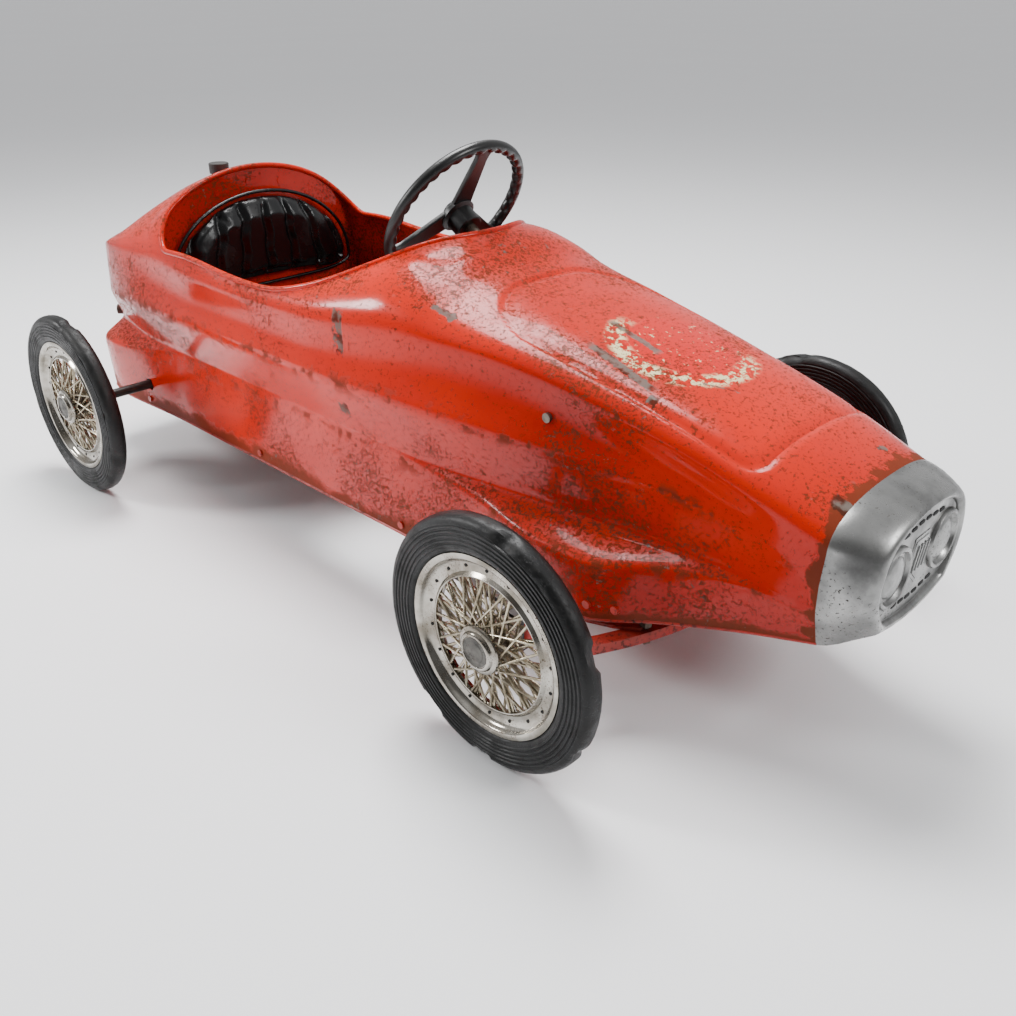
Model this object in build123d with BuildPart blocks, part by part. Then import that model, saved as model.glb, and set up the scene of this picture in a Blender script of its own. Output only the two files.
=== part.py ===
"""A child's pedal racing car of pressed steel, as separate sub-parts.

+X points to the nose, +Y to the driver's left and +Z up. The origin is on the floor, under the
middle of the car. Every size is in millimetres.
"""
import os
from math import acos, atan2, cos, degrees, hypot, pi, radians, sin, sqrt, tan

from build123d import *

os.makedirs("parts", exist_ok=True)

# ---------------------------------------------------------------- driving sizes
BODY_LENGTH = 1084.0  # pressed body, from the tail to the back edge of the nose cap
BODY_WIDTH = 332.0  # over the upper side creases
SHEET = 1.5  # body sheet
NOSE_CAP_DEPTH = 40.0  # cast cap in front of the body
WHEELBASE = 754.0
TRACK = 512.0  # between the middle planes of the tyres
FRONT_OVERHANG = 195.0  # front axle to the front edge of the body
TYRE_RADIUS = 115.0
TYRE_WIDTH = 22.0
RIM_RADIUS = 83.0  # outside of the chromed rim bead
RIM_WIDTH = 17.0
RIM_OPENING = 60.0  # inside of the rim well, where the spokes end
HUB_RADIUS = 15.0
HUB_LENGTH = 34.0
HUB_CAP_RADIUS = 22.0
SPOKE_DIAMETER = 2.6
SPOKES_EACH_WAY = 12
AXLE_DIAMETER = 12.0  # cranked rear axle
STUB_DIAMETER = 10.0  # front stub axles
CRANK_RADIUS = 42.0
CRANK_PIN_DIAMETER = 10.0
CRANK_REST_ANGLE = 255.0  # right-hand throw at rest, seen from the left side
ROD_PLANE = 116.0  # pedal rods, out from the middle of the car
ROD_HEIGHT = 12.0
ROD_THICKNESS = 6.0
STEERING_WHEEL_SETBACK = 53.0  # middle of the steering wheel behind the scuttle edge
STEERING_WHEEL_Z = 380.0
STEERING_WHEEL_RADIUS = 88.0
STEERING_RIM_DIAMETER = 13.0
STEER_ARM = 85.8  # steering arms and the column's drop finger, which share one length
COLUMN_DIAMETER = 14.0
STEER_RANGE = 22.0  # each way, in degrees
KINGPIN_INSET = 42.0  # kingpin, in from the middle plane of the front tyre
KINGPIN_DIAMETER = 8.0
KINGPIN_EYE_HEIGHT = 24.0
TIE_ROD_THICKNESS = 4.0
ARM_THICKNESS = 4.0
PEDAL_SHAFT_AHEAD = 44.0  # in front of the scuttle edge
PEDAL_SHAFT_Z = 245.0
PEDAL_SHAFT_DIAMETER = 10.0
PEDAL_LEVER_LENGTH = 118.0  # shaft to rod pivot
PEDAL_PAD_DROP = 84.0  # shaft to the middle of the pedal pad
PEDAL_PAD_WIDTH = 62.0
COCKPIT_BACK_SHARE = 202 / 1084  # flat wall behind the driver, as a share of the body from the tail
COCKPIT_TURN_SHARE = 432 / 1084  # where the cockpit sides start to draw in
COCKPIT_FRONT_SHARE = 638 / 1084  # middle of the scuttle edge
COCKPIT_HALF_WIDTH = 150.0
SEAT_HEIGHT = 200.0
SEAT_LENGTH = 240.0
PAD_THICKNESS = 24.0
RAIL_SIZE = 11.0  # square chassis rails
RAIL_PLANE = 137.0
RAIL_BOTTOM = 87.0
BEAM_WIDTH = 16.0
BEAM_HEIGHT = 10.0
PLATE = 3.0  # pressed steel brackets

# ---------------------------------------------------------------- fits
RUNNING = 0.08  # radial clearance of a turning shaft
SIDE_GAP = 0.5  # sideways clearance of a turning piece
FREE = 1.0  # clearance where nothing should touch
PIVOT_GAP = 1.0  # pin end to rod, where the pedal linkage is left open

# ---------------------------------------------------------------- places worked out from them
BODY_FRONT = (BODY_LENGTH - NOSE_CAP_DEPTH) / 2
BODY_BACK = BODY_FRONT - BODY_LENGTH
FRONT_AXLE_X = BODY_FRONT - FRONT_OVERHANG
REAR_AXLE_X = FRONT_AXLE_X - WHEELBASE
WHEEL_PLANE = TRACK / 2
AXLE_Z = TYRE_RADIUS
KINGPIN_Y = WHEEL_PLANE - KINGPIN_INSET
COCKPIT_BACK = BODY_BACK + COCKPIT_BACK_SHARE * BODY_LENGTH
COCKPIT_TURN = BODY_BACK + COCKPIT_TURN_SHARE * BODY_LENGTH
COCKPIT_FRONT = BODY_BACK + COCKPIT_FRONT_SHARE * BODY_LENGTH
STEERING_WHEEL_X = COCKPIT_FRONT - STEERING_WHEEL_SETBACK
PEDAL_SHAFT_X = COCKPIT_FRONT + PEDAL_SHAFT_AHEAD
TIE_ROD_X = FRONT_AXLE_X - STEER_ARM
TIE_ROD_Z = AXLE_Z + KINGPIN_EYE_HEIGHT / 2 + SIDE_GAP + ARM_THICKNESS + SIDE_GAP + TIE_ROD_THICKNESS / 2
# The column slopes so that a drop finger as long as the steering arms ends at the tie rod. The
# road wheels then turn as far as the steering wheel.
COLUMN_RUN = TIE_ROD_X - STEERING_WHEEL_X
COLUMN_DROP = STEERING_WHEEL_Z - TIE_ROD_Z
SLOPE = acos(STEER_ARM / hypot(COLUMN_RUN, COLUMN_DROP)) - atan2(COLUMN_RUN, COLUMN_DROP)
FINGER_ROOT_X = TIE_ROD_X + STEER_ARM * sin(SLOPE)


def column_height(x: float) -> float:
    """Height of the steering column's middle line at x."""
    return STEERING_WHEEL_Z - tan(SLOPE) * (x - STEERING_WHEEL_X)


ROD_LENGTH = PEDAL_SHAFT_X - REAR_AXLE_X
CRANK_PIN = {
    side: (
        REAR_AXLE_X - side * CRANK_RADIUS * cos(radians(CRANK_REST_ANGLE)),
        AXLE_Z - side * CRANK_RADIUS * sin(radians(CRANK_REST_ANGLE)),
    )
    for side in (1, -1)
}
LEVER_PLANE = ROD_PLANE - ROD_THICKNESS / 2 - PIVOT_GAP - 7.0

# ---------------------------------------------------------------- body lines
# Each line runs from the tail to the nose as (x, y, z) or (x, z) on a pattern 1084 long and
# 332 wide, with x from the tail.
PATTERN_LENGTH = 1084.0
PATTERN_WIDTH = 332.0
RIDGE = [(0, 284), (32, 296), (62, 316), (112, 355), (162, 377), (202, 386), (262, 372), (412, 340),
         (512, 350), (572, 363), (622, 371), (657, 362), (692, 344), (732, 332), (772, 324),
         (832, 312), (889, 300), (952, 286), (1018, 267), (1084, 243)]
SHOULDER = [(0, 104, 262), (22, 128, 280), (62, 140, 288), (112, 146, 290), (202, 152, 288),
            (312, 158, 284), (512, 158, 284), (592, 152, 288), (662, 142, 294), (732, 130, 293),
            (812, 117, 283), (892, 108, 267), (952, 102, 252), (1018, 97, 232), (1084, 90, 208)]
CREASE = [(0, 108, 212), (22, 132, 218), (62, 146, 223), (162, 161, 229), (312, 166, 233),
          (512, 166, 234), (662, 156, 232), (782, 137, 228), (917, 110, 222), (1017, 98, 206),
          (1084, 94, 182)]
CHANNEL = [(0, 98, 176), (22, 120, 178), (62, 130, 180), (162, 142, 178), (312, 144, 178),
           (512, 144, 176), (662, 138, 172), (782, 122, 170), (892, 107, 167), (992, 97, 166),
           (1084, 93, 160)]
LEDGE = [(0, 130, 158), (22, 154, 158), (62, 160, 160), (112, 157, 162), (212, 145, 171),
         (312, 144, 172), (512, 144, 170), (662, 140, 166), (742, 139, 160), (842, 150, 150),
         (892, 149, 150), (962, 119, 156), (1022, 101, 158), (1084, 91, 150)]
HEM = [(0, 126, 86), (22, 150, 84), (62, 156, 82), (212, 150, 82), (512, 150, 82), (712, 150, 82),
       (812, 151, 84), (892, 147, 90), (962, 117, 101), (1032, 92, 112), (1084, 82, 122)]
FULLNESS = [(0, 2.6), (62, 1.9), (112, 1.75), (162, 1.85), (202, 2.0), (612, 2.1), (812, 2.3),
            (1084, 2.4)]
HOLLOW = [(0, 0.6), (60, 0.6), (260, 4.5), (940, 4.5), (1060, 0.6), (1084, 0.6)]
STATIONS = [0, 10, 25, 50, 85, 130, 175, 212, 300, 412, 512, 572, 612, 650, 690, 735, 790, 842,
            892, 952, 1018, 1084]


def line_at(line: list, x: float) -> tuple:
    """The y and z of a body line at x, on a monotone curve through its points."""
    along = [point[0] * BODY_LENGTH / PATTERN_LENGTH + BODY_BACK for point in line]
    x = min(max(x, along[0]), along[-1])
    span = max(index for index in range(len(along) - 1) if along[index] <= x)
    step = along[span + 1] - along[span]
    t = (x - along[span]) / step
    found = []
    for axis in range(1, len(line[0])):
        value = [point[axis] for point in line]
        slope = [
            (value[index + 1] - value[index]) / (along[index + 1] - along[index])
            for index in range(len(line) - 1)
        ]

        def tangent(index: int) -> float:
            if index in (0, len(slope)):
                return slope[min(index, len(slope) - 1)]
            before, after = slope[index - 1], slope[index]
            return 0.0 if before * after <= 0 else 2 * before * after / (before + after)

        found.append(
            (2 * t**3 - 3 * t**2 + 1) * value[span]
            + (t**3 - 2 * t**2 + t) * step * tangent(span)
            + (3 * t**2 - 2 * t**3) * value[span + 1]
            + (t**3 - t**2) * step * tangent(span + 1)
        )
    if len(found) == 2:
        found[0] *= BODY_WIDTH / PATTERN_WIDTH
    return tuple(found)


def crown(x: float, inset: float = 0.0) -> list:
    """Points over the top of the body at x, from the right shoulder to the left one."""
    (ridge,) = line_at(RIDGE, x)
    half, height = line_at(SHOULDER, x)
    (fullness,) = line_at(FULLNESS, x)
    points = []
    for step in range(-6, 7):
        turn = abs(step) / 6 * pi / 2
        across = (half - inset) * sin(turn) ** (2 / fullness)
        up = height + (ridge - inset - height) * cos(turn) ** (2 / fullness)
        points.append((across if step >= 0 else -across, up))
    return points


def deck_height(x: float, y: float) -> float:
    """Height of the outside of the top deck."""
    points = crown(x)
    for (y0, z0), (y1, z1) in zip(points, points[1:]):
        if y0 <= y <= y1:
            return z0 + (z1 - z0) * (y - y0) / (y1 - y0)
    return points[-1][1]


def waist(x: float) -> tuple:
    """The y and z of the hollow's deepest point, half way from the shoulder to the crease."""
    half_high, high = line_at(SHOULDER, x)
    half_low, low = line_at(CREASE, x)
    (depth,) = line_at(HOLLOW, x)
    return (half_high + half_low) / 2 - depth, (high + low) / 2


def side_points(x: float, inset: float = 0.0) -> list:
    """Points down the left side of the body at x, under the shoulder."""
    below = [line_at(line, x) for line in (CREASE, CHANNEL, LEDGE, HEM)]
    return [(half - inset, height) for half, height in [waist(x)] + below]


def body_section(x: float, inset: float = 0.0, low: float = 0.0, at: float | None = None,
                 scale: float = 1.0) -> Sketch:
    """Closed section of the body at x, drawn at a place of its own if one is given."""
    top = crown(x, inset)
    side = side_points(x, inset)
    side[-1] = (side[-1][0], side[-1][1] - low)
    middle = (top[6][1] + side[-1][1]) / 2

    def sized(points: list) -> list:
        return [(y * scale, middle + (z - middle) * scale) for y, z in points]

    left = sized([top[-1]] + side)
    right = [(-y, z) for y, z in reversed(left)]
    with BuildSketch(Plane.YZ.offset(x if at is None else at)) as section:
        with BuildLine():
            Spline(*sized(top))
            Polyline(*left, *right)
        make_face()
    return section.sketch


def station_x(station: float) -> float:
    """Place of a body station along the car."""
    return BODY_BACK + station * BODY_LENGTH / PATTERN_LENGTH


def save(piece: Part, name: str) -> None:
    """Label a finished piece and write its file."""
    piece.label = name
    export_step(piece, f"parts/{name}.step")


def side_name(side: int) -> str:
    """left for +Y and right for -Y."""
    return "left" if side > 0 else "right"


# ---------------------------------------------------------------- body shell
STATION_PLACES = [station_x(station) for station in STATIONS]
with BuildPart() as inside:
    loft(
        [body_section(x, SHEET, 3.0, x + SHEET if x == BODY_BACK else x) for x in STATION_PLACES],
        ruled=True,
    )

TIE_ROD_WIDTH = 14.0
SLOT_LENGTH = TIE_ROD_WIDTH + STEER_ARM * (1 - cos(radians(STEER_RANGE))) + 6 * FREE
SLOT_HEIGHT = TIE_ROD_THICKNESS + 6 * FREE

with BuildPart() as body_shell:
    loft([body_section(x) for x in STATION_PLACES], ruled=True)
    add(inside.part, mode=Mode.SUBTRACT)
    # cockpit: straight back edge with rounded corners, parallel sides and an oval front
    with BuildSketch(Plane.XY.offset(SEAT_HEIGHT + 55)):
        with BuildLine():
            wide = COCKPIT_HALF_WIDTH
            Polyline((COCKPIT_TURN, -wide), (COCKPIT_BACK + 50, -wide), (COCKPIT_BACK + 10, -wide + 12),
                     (COCKPIT_BACK, -wide + 30), (COCKPIT_BACK, wide - 30),
                     (COCKPIT_BACK + 10, wide - 12), (COCKPIT_BACK + 50, wide), (COCKPIT_TURN, wide))
            EllipticalCenterArc((COCKPIT_TURN, 0), COCKPIT_FRONT - COCKPIT_TURN, wide, start_angle=-90,
                                arc_size=180)
        make_face()
    extrude(amount=300, mode=Mode.SUBTRACT)
    # clearance for the rear axle and for the tie rod
    with BuildSketch(Plane.XZ):
        with Locations((REAR_AXLE_X, AXLE_Z)):
            Circle(AXLE_DIAMETER / 2 + 3 * FREE)
        with Locations((TIE_ROD_X - TIE_ROD_WIDTH / 2 - FREE + SLOT_LENGTH / 2, TIE_ROD_Z)):
            Rectangle(SLOT_LENGTH, SLOT_HEIGHT)
    extrude(amount=BODY_WIDTH, both=True, mode=Mode.SUBTRACT)
save(body_shell.part, "body_shell")

# ---------------------------------------------------------------- cockpit
SLOT_PRESSINGS = 7
with BuildPart() as seat_back_panel:
    with BuildSketch(Plane.YZ.offset(COCKPIT_BACK - SHEET)):
        with Locations((0, SEAT_HEIGHT + 150)):
            Rectangle(2 * BODY_WIDTH, 300)
    extrude(amount=SHEET)
    add(inside.part, mode=Mode.INTERSECT)
    # a row of oval pressings under the arch
    with BuildSketch(Plane.YZ.offset(COCKPIT_BACK)):
        for number in range(SLOT_PRESSINGS):
            turn = radians(24 + 132 * number / (SLOT_PRESSINGS - 1))
            with Locations(Location((124 * cos(turn), 262 + 106 * sin(turn)), degrees(turn) - 90)):
                SlotOverall(20, 8)
    extrude(amount=0.8)
save(seat_back_panel.part, "seat_back_panel")

SEAT_FRONT = COCKPIT_BACK + SEAT_LENGTH
with BuildPart() as seat_pan:
    with BuildSketch(Plane.XY.offset(SEAT_HEIGHT - SHEET)):
        with Locations(((COCKPIT_BACK + SEAT_FRONT) / 2, 0)):
            Rectangle(SEAT_LENGTH, 2 * BODY_WIDTH)
    extrude(amount=SHEET)
    add(inside.part, mode=Mode.INTERSECT)
    with BuildSketch(Plane.YZ.offset(SEAT_FRONT - SHEET)):
        with Locations((0, SEAT_HEIGHT - 7)):
            Rectangle(200, 14)
    extrude(amount=SHEET)
save(seat_pan.part, "seat_pan")

PAD_BOTTOM = SEAT_HEIGHT + 36
PAD_HALF_WIDTH = 140.0
PAD_SPRING = PAD_BOTTOM + 18  # height where the arch starts
PAD_HEIGHT = 122.0
with BuildPart() as seat_pad:
    with BuildSketch(Plane.YZ.offset(COCKPIT_BACK + 1.2)):
        with BuildLine():
            EllipticalCenterArc((0, PAD_SPRING), PAD_HALF_WIDTH, PAD_BOTTOM + PAD_HEIGHT - PAD_SPRING,
                                start_angle=0, arc_size=180)
            Polyline((-PAD_HALF_WIDTH, PAD_SPRING), (-PAD_HALF_WIDTH + 5, PAD_BOTTOM + 6),
                     (-PAD_HALF_WIDTH + 18, PAD_BOTTOM), (PAD_HALF_WIDTH - 18, PAD_BOTTOM),
                     (PAD_HALF_WIDTH - 5, PAD_BOTTOM + 6), (PAD_HALF_WIDTH, PAD_SPRING))
        make_face()
    extrude(amount=PAD_THICKNESS)
save(seat_pad.part, "seat_pad")

# ---------------------------------------------------------------- nose cap
CAP_FRONT = BODY_FRONT + NOSE_CAP_DEPTH
CAP_WALL = 3.0
CAP_RECESS = 5.0
CAP_STEPS = [(0.0, 1.0), (0.45, 0.985), (0.8, 0.93), (0.95, 0.87), (1.0, 0.82)]
CAP_MIDDLE = (line_at(RIDGE, BODY_FRONT)[0] + line_at(HEM, BODY_FRONT)[1]) / 2
LAMP_SPACING = 92.0
LAMP_RADIUS = 21.0


def cap_section(depth: float, scale: float) -> Sketch:
    """Section of the nose cap at a depth in front of the body."""
    return body_section(BODY_FRONT, at=BODY_FRONT + depth, scale=scale)


with BuildPart() as nose_cap:
    loft([cap_section(NOSE_CAP_DEPTH * depth, scale) for depth, scale in CAP_STEPS], ruled=True)
    hollow = NOSE_CAP_DEPTH - CAP_RECESS - CAP_WALL
    loft([cap_section(hollow * depth, scale - 0.045) for depth, scale in CAP_STEPS], ruled=True,
         mode=Mode.SUBTRACT)
    loft([cap_section(NOSE_CAP_DEPTH - CAP_RECESS, 0.72), cap_section(NOSE_CAP_DEPTH + CAP_RECESS, 0.72)],
         ruled=True, mode=Mode.SUBTRACT)
    # two round dished recesses and the rows of vent slots between them
    with BuildSketch(Plane.YZ.offset(CAP_FRONT - CAP_RECESS)):
        with GridLocations(LAMP_SPACING, 0, 2, 1):
            with Locations((0, CAP_MIDDLE)):
                Circle(LAMP_RADIUS)
    extrude(amount=-CAP_WALL / 2, mode=Mode.SUBTRACT)
    with BuildSketch(Plane.YZ.offset(CAP_FRONT)):
        with Locations((0, CAP_MIDDLE + 22), (0, CAP_MIDDLE - 22)):
            with GridLocations(15, 0, 4, 1):
                SlotOverall(8, 3.2)
    extrude(amount=-NOSE_CAP_DEPTH, mode=Mode.SUBTRACT)
save(nose_cap.part, "nose_cap")

# ---------------------------------------------------------------- trim
FILLER_X = BODY_BACK + 124.0
FILLER_RADIUS = 13.0
FILLER_HEIGHT = 13.0
with BuildPart() as filler_cap:
    with BuildSketch(Plane.XY.offset(deck_height(FILLER_X, 0) - 6)):
        with Locations((FILLER_X, 0)):
            Circle(FILLER_RADIUS - 4)
    extrude(amount=14)
    add(inside.part, mode=Mode.SUBTRACT)
    add(body_shell.part, mode=Mode.SUBTRACT)
    with BuildSketch(Plane.XY.offset(deck_height(FILLER_X, 0) + 7)):
        with Locations((FILLER_X, 0)):
            RegularPolygon(FILLER_RADIUS, 24)
    extrude(amount=FILLER_HEIGHT)
    fillet(filler_cap.faces().sort_by(Axis.Z)[-1].edges(), 1.2)
save(filler_cap.part, "filler_cap")


def wall_y(line_high: list, line_low: list, x: float, z: float) -> float:
    """Half-width of the body side between two body lines, at x and z."""
    y_high, z_high = line_at(line_high, x)
    y_low, z_low = line_at(line_low, x)
    return y_low + (y_high - y_low) * (z - z_low) / (z_high - z_low)


def outward_domes(places: list, radius: float, height: float) -> Part:
    """Round heads on the body side, one each side of the car for every (x, y, z)."""
    with BuildPart() as heads:
        for x, y, z in places:
            for side in (1, -1):
                turned = Plane((x, side * (y - 2 * SHEET), z), x_dir=(1, 0, 0), z_dir=(0, side, 0))
                with BuildSketch(turned):
                    Circle(radius)
                extrude(amount=height + 2 * SHEET)
        add(body_shell.part, mode=Mode.SUBTRACT)
        add(inside.part, mode=Mode.SUBTRACT)
    return heads.part


BOLT_X = FRONT_AXLE_X - 64.0
save(outward_domes([(BOLT_X, *waist(BOLT_X))], 4.5, 3.0), "body_bolts")
MOUNT_PLACES = [BODY_BACK + share * BODY_LENGTH for share in (0.12, 0.36, 0.6)]
RIVET_Z = RAIL_BOTTOM + RAIL_SIZE / 2
FRONT_RIVET_Z = 107.0
rivets = [(x, wall_y(LEDGE, HEM, x, RIVET_Z), RIVET_Z) for x in MOUNT_PLACES]
for ahead in (11.0, 35.0):
    x = FRONT_AXLE_X + ahead
    rivets.append((x, wall_y(LEDGE, HEM, x, FRONT_RIVET_Z), FRONT_RIVET_Z))
save(outward_domes(rivets, 4.0, 2.0), "body_rivets")

with BuildPart() as tail_buttons:
    for side in (1, -1):
        x = BODY_BACK + 14
        y, z = line_at(CHANNEL, x)
        turned = Plane((x + 6, side * (y - 6), z + 8), z_dir=(-1, side, 0))
        with BuildSketch(turned):
            Circle(7)
        extrude(amount=18)
    add(body_shell.part, mode=Mode.SUBTRACT)
    add(inside.part, mode=Mode.SUBTRACT)
save(tail_buttons.part, "tail_buttons")

# ---------------------------------------------------------------- chassis
RAIL_BACK = REAR_AXLE_X - 68.0
RAIL_FRONT = FRONT_AXLE_X + 3.0
RAIL_IN = RAIL_PLANE - RAIL_SIZE / 2
with BuildPart() as chassis_rails:
    for side in (1, -1):
        with BuildSketch(Plane.YZ.offset(RAIL_BACK)):
            with Locations((side * RAIL_PLANE, RAIL_BOTTOM + RAIL_SIZE / 2)):
                Rectangle(RAIL_SIZE, RAIL_SIZE)
                Rectangle(RAIL_SIZE - 2 * SHEET, RAIL_SIZE - 2 * SHEET, mode=Mode.SUBTRACT)
        extrude(amount=RAIL_FRONT - RAIL_BACK)
save(chassis_rails.part, "chassis_rails")

with BuildPart() as rail_mounts:
    for x in MOUNT_PLACES:
        for side in (1, -1):
            with BuildSketch(Plane.XY.offset(RAIL_BOTTOM)):
                with Locations((x, side * (RAIL_PLANE + RAIL_SIZE / 2 + 20))):
                    Rectangle(16, 40)
            extrude(amount=RAIL_SIZE)
    add(inside.part, mode=Mode.INTERSECT)
save(rail_mounts.part, "rail_mounts")

BUSH_RADIUS = 11.0
BUSH_LENGTH = 14.0
BUSH_GAP = 10.0  # drop finger to the lower column bush, along the column
FINGER_DIAMETER = 8.0
bush_x = FINGER_ROOT_X + (BUSH_GAP + BUSH_LENGTH / 2) * cos(SLOPE)
for name, x in (("front_cross_bar", bush_x), ("rear_cross_bar", RAIL_BACK + 8)):
    with BuildPart() as bar:
        with BuildSketch(Plane.XY.offset(RAIL_BOTTOM)):
            with Locations((x, 0)):
                Rectangle(RAIL_SIZE, 2 * RAIL_IN)
        extrude(amount=RAIL_SIZE)
    save(bar.part, name)

# ---------------------------------------------------------------- front axle
BEAM_TOP = RAIL_BOTTOM - PLATE
BEAM_BOW = 70.0  # how far the beam bows forward between the kingpins
POST_Y = KINGPIN_Y - 22.0
EYE_RADIUS = 9.0
beam_radius = (POST_Y**2 + (BEAM_BOW - 11) ** 2) / (2 * (BEAM_BOW - 11))


def beam_x(y: float) -> float:
    """Middle of the bowed front beam at y."""
    return FRONT_AXLE_X + BEAM_BOW - beam_radius + sqrt(beam_radius**2 - y**2)


with BuildPart() as front_axle_beam:
    with BuildSketch(Plane.XY.offset(BEAM_TOP - BEAM_HEIGHT)):
        with BuildLine():
            half = BEAM_WIDTH / 2
            ends = [(beam_x(POST_Y) + offset, POST_Y) for offset in (-half, half)]
            ThreePointArc((ends[0][0], -POST_Y), (beam_x(0) - half, 0), ends[0])
            Line(ends[0], ends[1])
            ThreePointArc(ends[1], (beam_x(0) + half, 0), (ends[1][0], -POST_Y))
            Line((ends[1][0], -POST_Y), (ends[0][0], -POST_Y))
        make_face()
    extrude(amount=BEAM_HEIGHT)
    for side in (1, -1):
        with BuildSketch(Plane.XY.offset(BEAM_TOP - BEAM_HEIGHT)):
            with Locations((beam_x(POST_Y), side * POST_Y)):
                Rectangle(BEAM_WIDTH, 8)
        extrude(amount=AXLE_Z + 5 - BEAM_TOP + BEAM_HEIGHT)
        with BuildSketch(Plane.XY.offset(AXLE_Z - 5)):
            with BuildLine():
                Polyline((beam_x(POST_Y) - half, side * POST_Y), (beam_x(POST_Y) + half, side * POST_Y),
                         (FRONT_AXLE_X + 6, side * KINGPIN_Y), (FRONT_AXLE_X - 6, side * KINGPIN_Y),
                         close=True)
            make_face()
        extrude(amount=10)
        with BuildSketch(Plane.XY.offset(AXLE_Z - KINGPIN_EYE_HEIGHT / 2)):
            with Locations((FRONT_AXLE_X, side * KINGPIN_Y)):
                Circle(EYE_RADIUS)
        extrude(amount=KINGPIN_EYE_HEIGHT)
    with Locations((FRONT_AXLE_X, KINGPIN_Y, AXLE_Z), (FRONT_AXLE_X, -KINGPIN_Y, AXLE_Z)):
        Cylinder(KINGPIN_DIAMETER / 2, 2 * KINGPIN_EYE_HEIGHT, mode=Mode.SUBTRACT)
    bolt_spots = [(beam_x(112), 112), (beam_x(112), -112)]
    with Locations(*[(x, y, BEAM_TOP) for x, y in bolt_spots]):
        Cylinder(3.2, 4 * BEAM_HEIGHT, mode=Mode.SUBTRACT)
save(front_axle_beam.part, "front_axle_beam")

rail_bolt_x = FRONT_AXLE_X - 12.0
with BuildPart() as axle_brackets:
    for side in (1, -1):
        with BuildSketch(Plane.XY.offset(BEAM_TOP)):
            with BuildLine():
                outline = [(-27, RAIL_IN), (-27, 142), (8, 142), (31, 133), (51, 120), (51, 100), (3, 100)]
                Polyline(*[(FRONT_AXLE_X + dx, side * y) for dx, y in outline], close=True)
            make_face()
            with Locations((beam_x(112), side * 112), (rail_bolt_x, side * RAIL_PLANE)):
                Circle(3.2, mode=Mode.SUBTRACT)
        extrude(amount=PLATE)
save(axle_brackets.part, "axle_brackets")

with BuildPart() as axle_bolts:
    for x, y in bolt_spots:
        with BuildSketch(Plane.XY.offset(BEAM_TOP - BEAM_HEIGHT - 4)):
            with Locations((x, y)):
                RegularPolygon(6, 6)
        extrude(amount=4)
        with BuildSketch(Plane.XY.offset(BEAM_TOP - BEAM_HEIGHT)):
            with Locations((x, y)):
                Circle(3.2)
        extrude(amount=BEAM_HEIGHT + PLATE)
        with BuildSketch(Plane.XY.offset(BEAM_TOP + PLATE)):
            with Locations((x, y)):
                RegularPolygon(6, 6)
        extrude(amount=5)
save(axle_bolts.part, "axle_bolts")

EAR_GAP = KINGPIN_EYE_HEIGHT / 2 + SIDE_GAP
with BuildPart() as kingpins:
    for side in (1, -1):
        with BuildSketch(Plane.XY.offset(AXLE_Z - EAR_GAP - ARM_THICKNESS - SIDE_GAP)):
            with Locations((FRONT_AXLE_X, side * KINGPIN_Y)):
                Circle(KINGPIN_DIAMETER / 2)
        extrude(amount=2 * (EAR_GAP + ARM_THICKNESS + SIDE_GAP))
        for z, height in ((AXLE_Z + EAR_GAP + ARM_THICKNESS + SIDE_GAP, 3),
                          (AXLE_Z - EAR_GAP - ARM_THICKNESS - SIDE_GAP, -3)):
            with BuildSketch(Plane.XY.offset(z)):
                with Locations((FRONT_AXLE_X, side * KINGPIN_Y)):
                    Circle(KINGPIN_DIAMETER / 2 + 2.5)
            extrude(amount=height)
save(kingpins.part, "kingpins")

EAR_RADIUS = 11.0
WEB_Y = KINGPIN_Y + EAR_RADIUS + 1
TIE_PIN_RADIUS = 3.0
STUB_END = WHEEL_PLANE + 14.0
for side in (1, -1):
    with BuildPart() as knuckle:
        for z, with_arm in ((AXLE_Z + EAR_GAP, True), (AXLE_Z - EAR_GAP - ARM_THICKNESS, False)):
            with BuildSketch(Plane.XY.offset(z)):
                with Locations((FRONT_AXLE_X, side * KINGPIN_Y)):
                    Circle(EAR_RADIUS)
                with Locations((FRONT_AXLE_X, side * (KINGPIN_Y + WEB_Y + 4) / 2)):
                    Rectangle(2 * EAR_RADIUS, WEB_Y + 4 - KINGPIN_Y)
                if with_arm:
                    with Locations(((FRONT_AXLE_X + TIE_ROD_X) / 2, side * KINGPIN_Y)):
                        SlotCenterToCenter(STEER_ARM, 14)
                with Locations((FRONT_AXLE_X, side * KINGPIN_Y)):
                    Circle(KINGPIN_DIAMETER / 2 + RUNNING, mode=Mode.SUBTRACT)
            extrude(amount=ARM_THICKNESS)
        with BuildSketch(Plane.XY.offset(AXLE_Z - EAR_GAP - ARM_THICKNESS)):
            with Locations((FRONT_AXLE_X, side * (WEB_Y + 2))):
                Rectangle(2 * EAR_RADIUS, 4)
        extrude(amount=2 * (EAR_GAP + ARM_THICKNESS))
        with BuildSketch(Plane((FRONT_AXLE_X, side * WEB_Y, AXLE_Z), z_dir=(0, side, 0))):
            Circle(STUB_DIAMETER / 2)
        extrude(amount=STUB_END - WEB_Y)
        with BuildSketch(Plane.XY.offset(TIE_ROD_Z - TIE_ROD_THICKNESS / 2 - SIDE_GAP)):
            with Locations((TIE_ROD_X, side * KINGPIN_Y)):
                Circle(TIE_PIN_RADIUS)
        extrude(amount=TIE_ROD_THICKNESS + 2 * SIDE_GAP)
        with BuildSketch(Plane.XY.offset(TIE_ROD_Z + TIE_ROD_THICKNESS / 2 + SIDE_GAP)):
            with Locations((TIE_ROD_X, side * KINGPIN_Y)):
                Circle(TIE_PIN_RADIUS + 2)
        extrude(amount=2)
    save(knuckle.part, f"knuckle_{side_name(side)}")

# ---------------------------------------------------------------- steering
SIDEWAYS = radians(STEER_RANGE)
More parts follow.
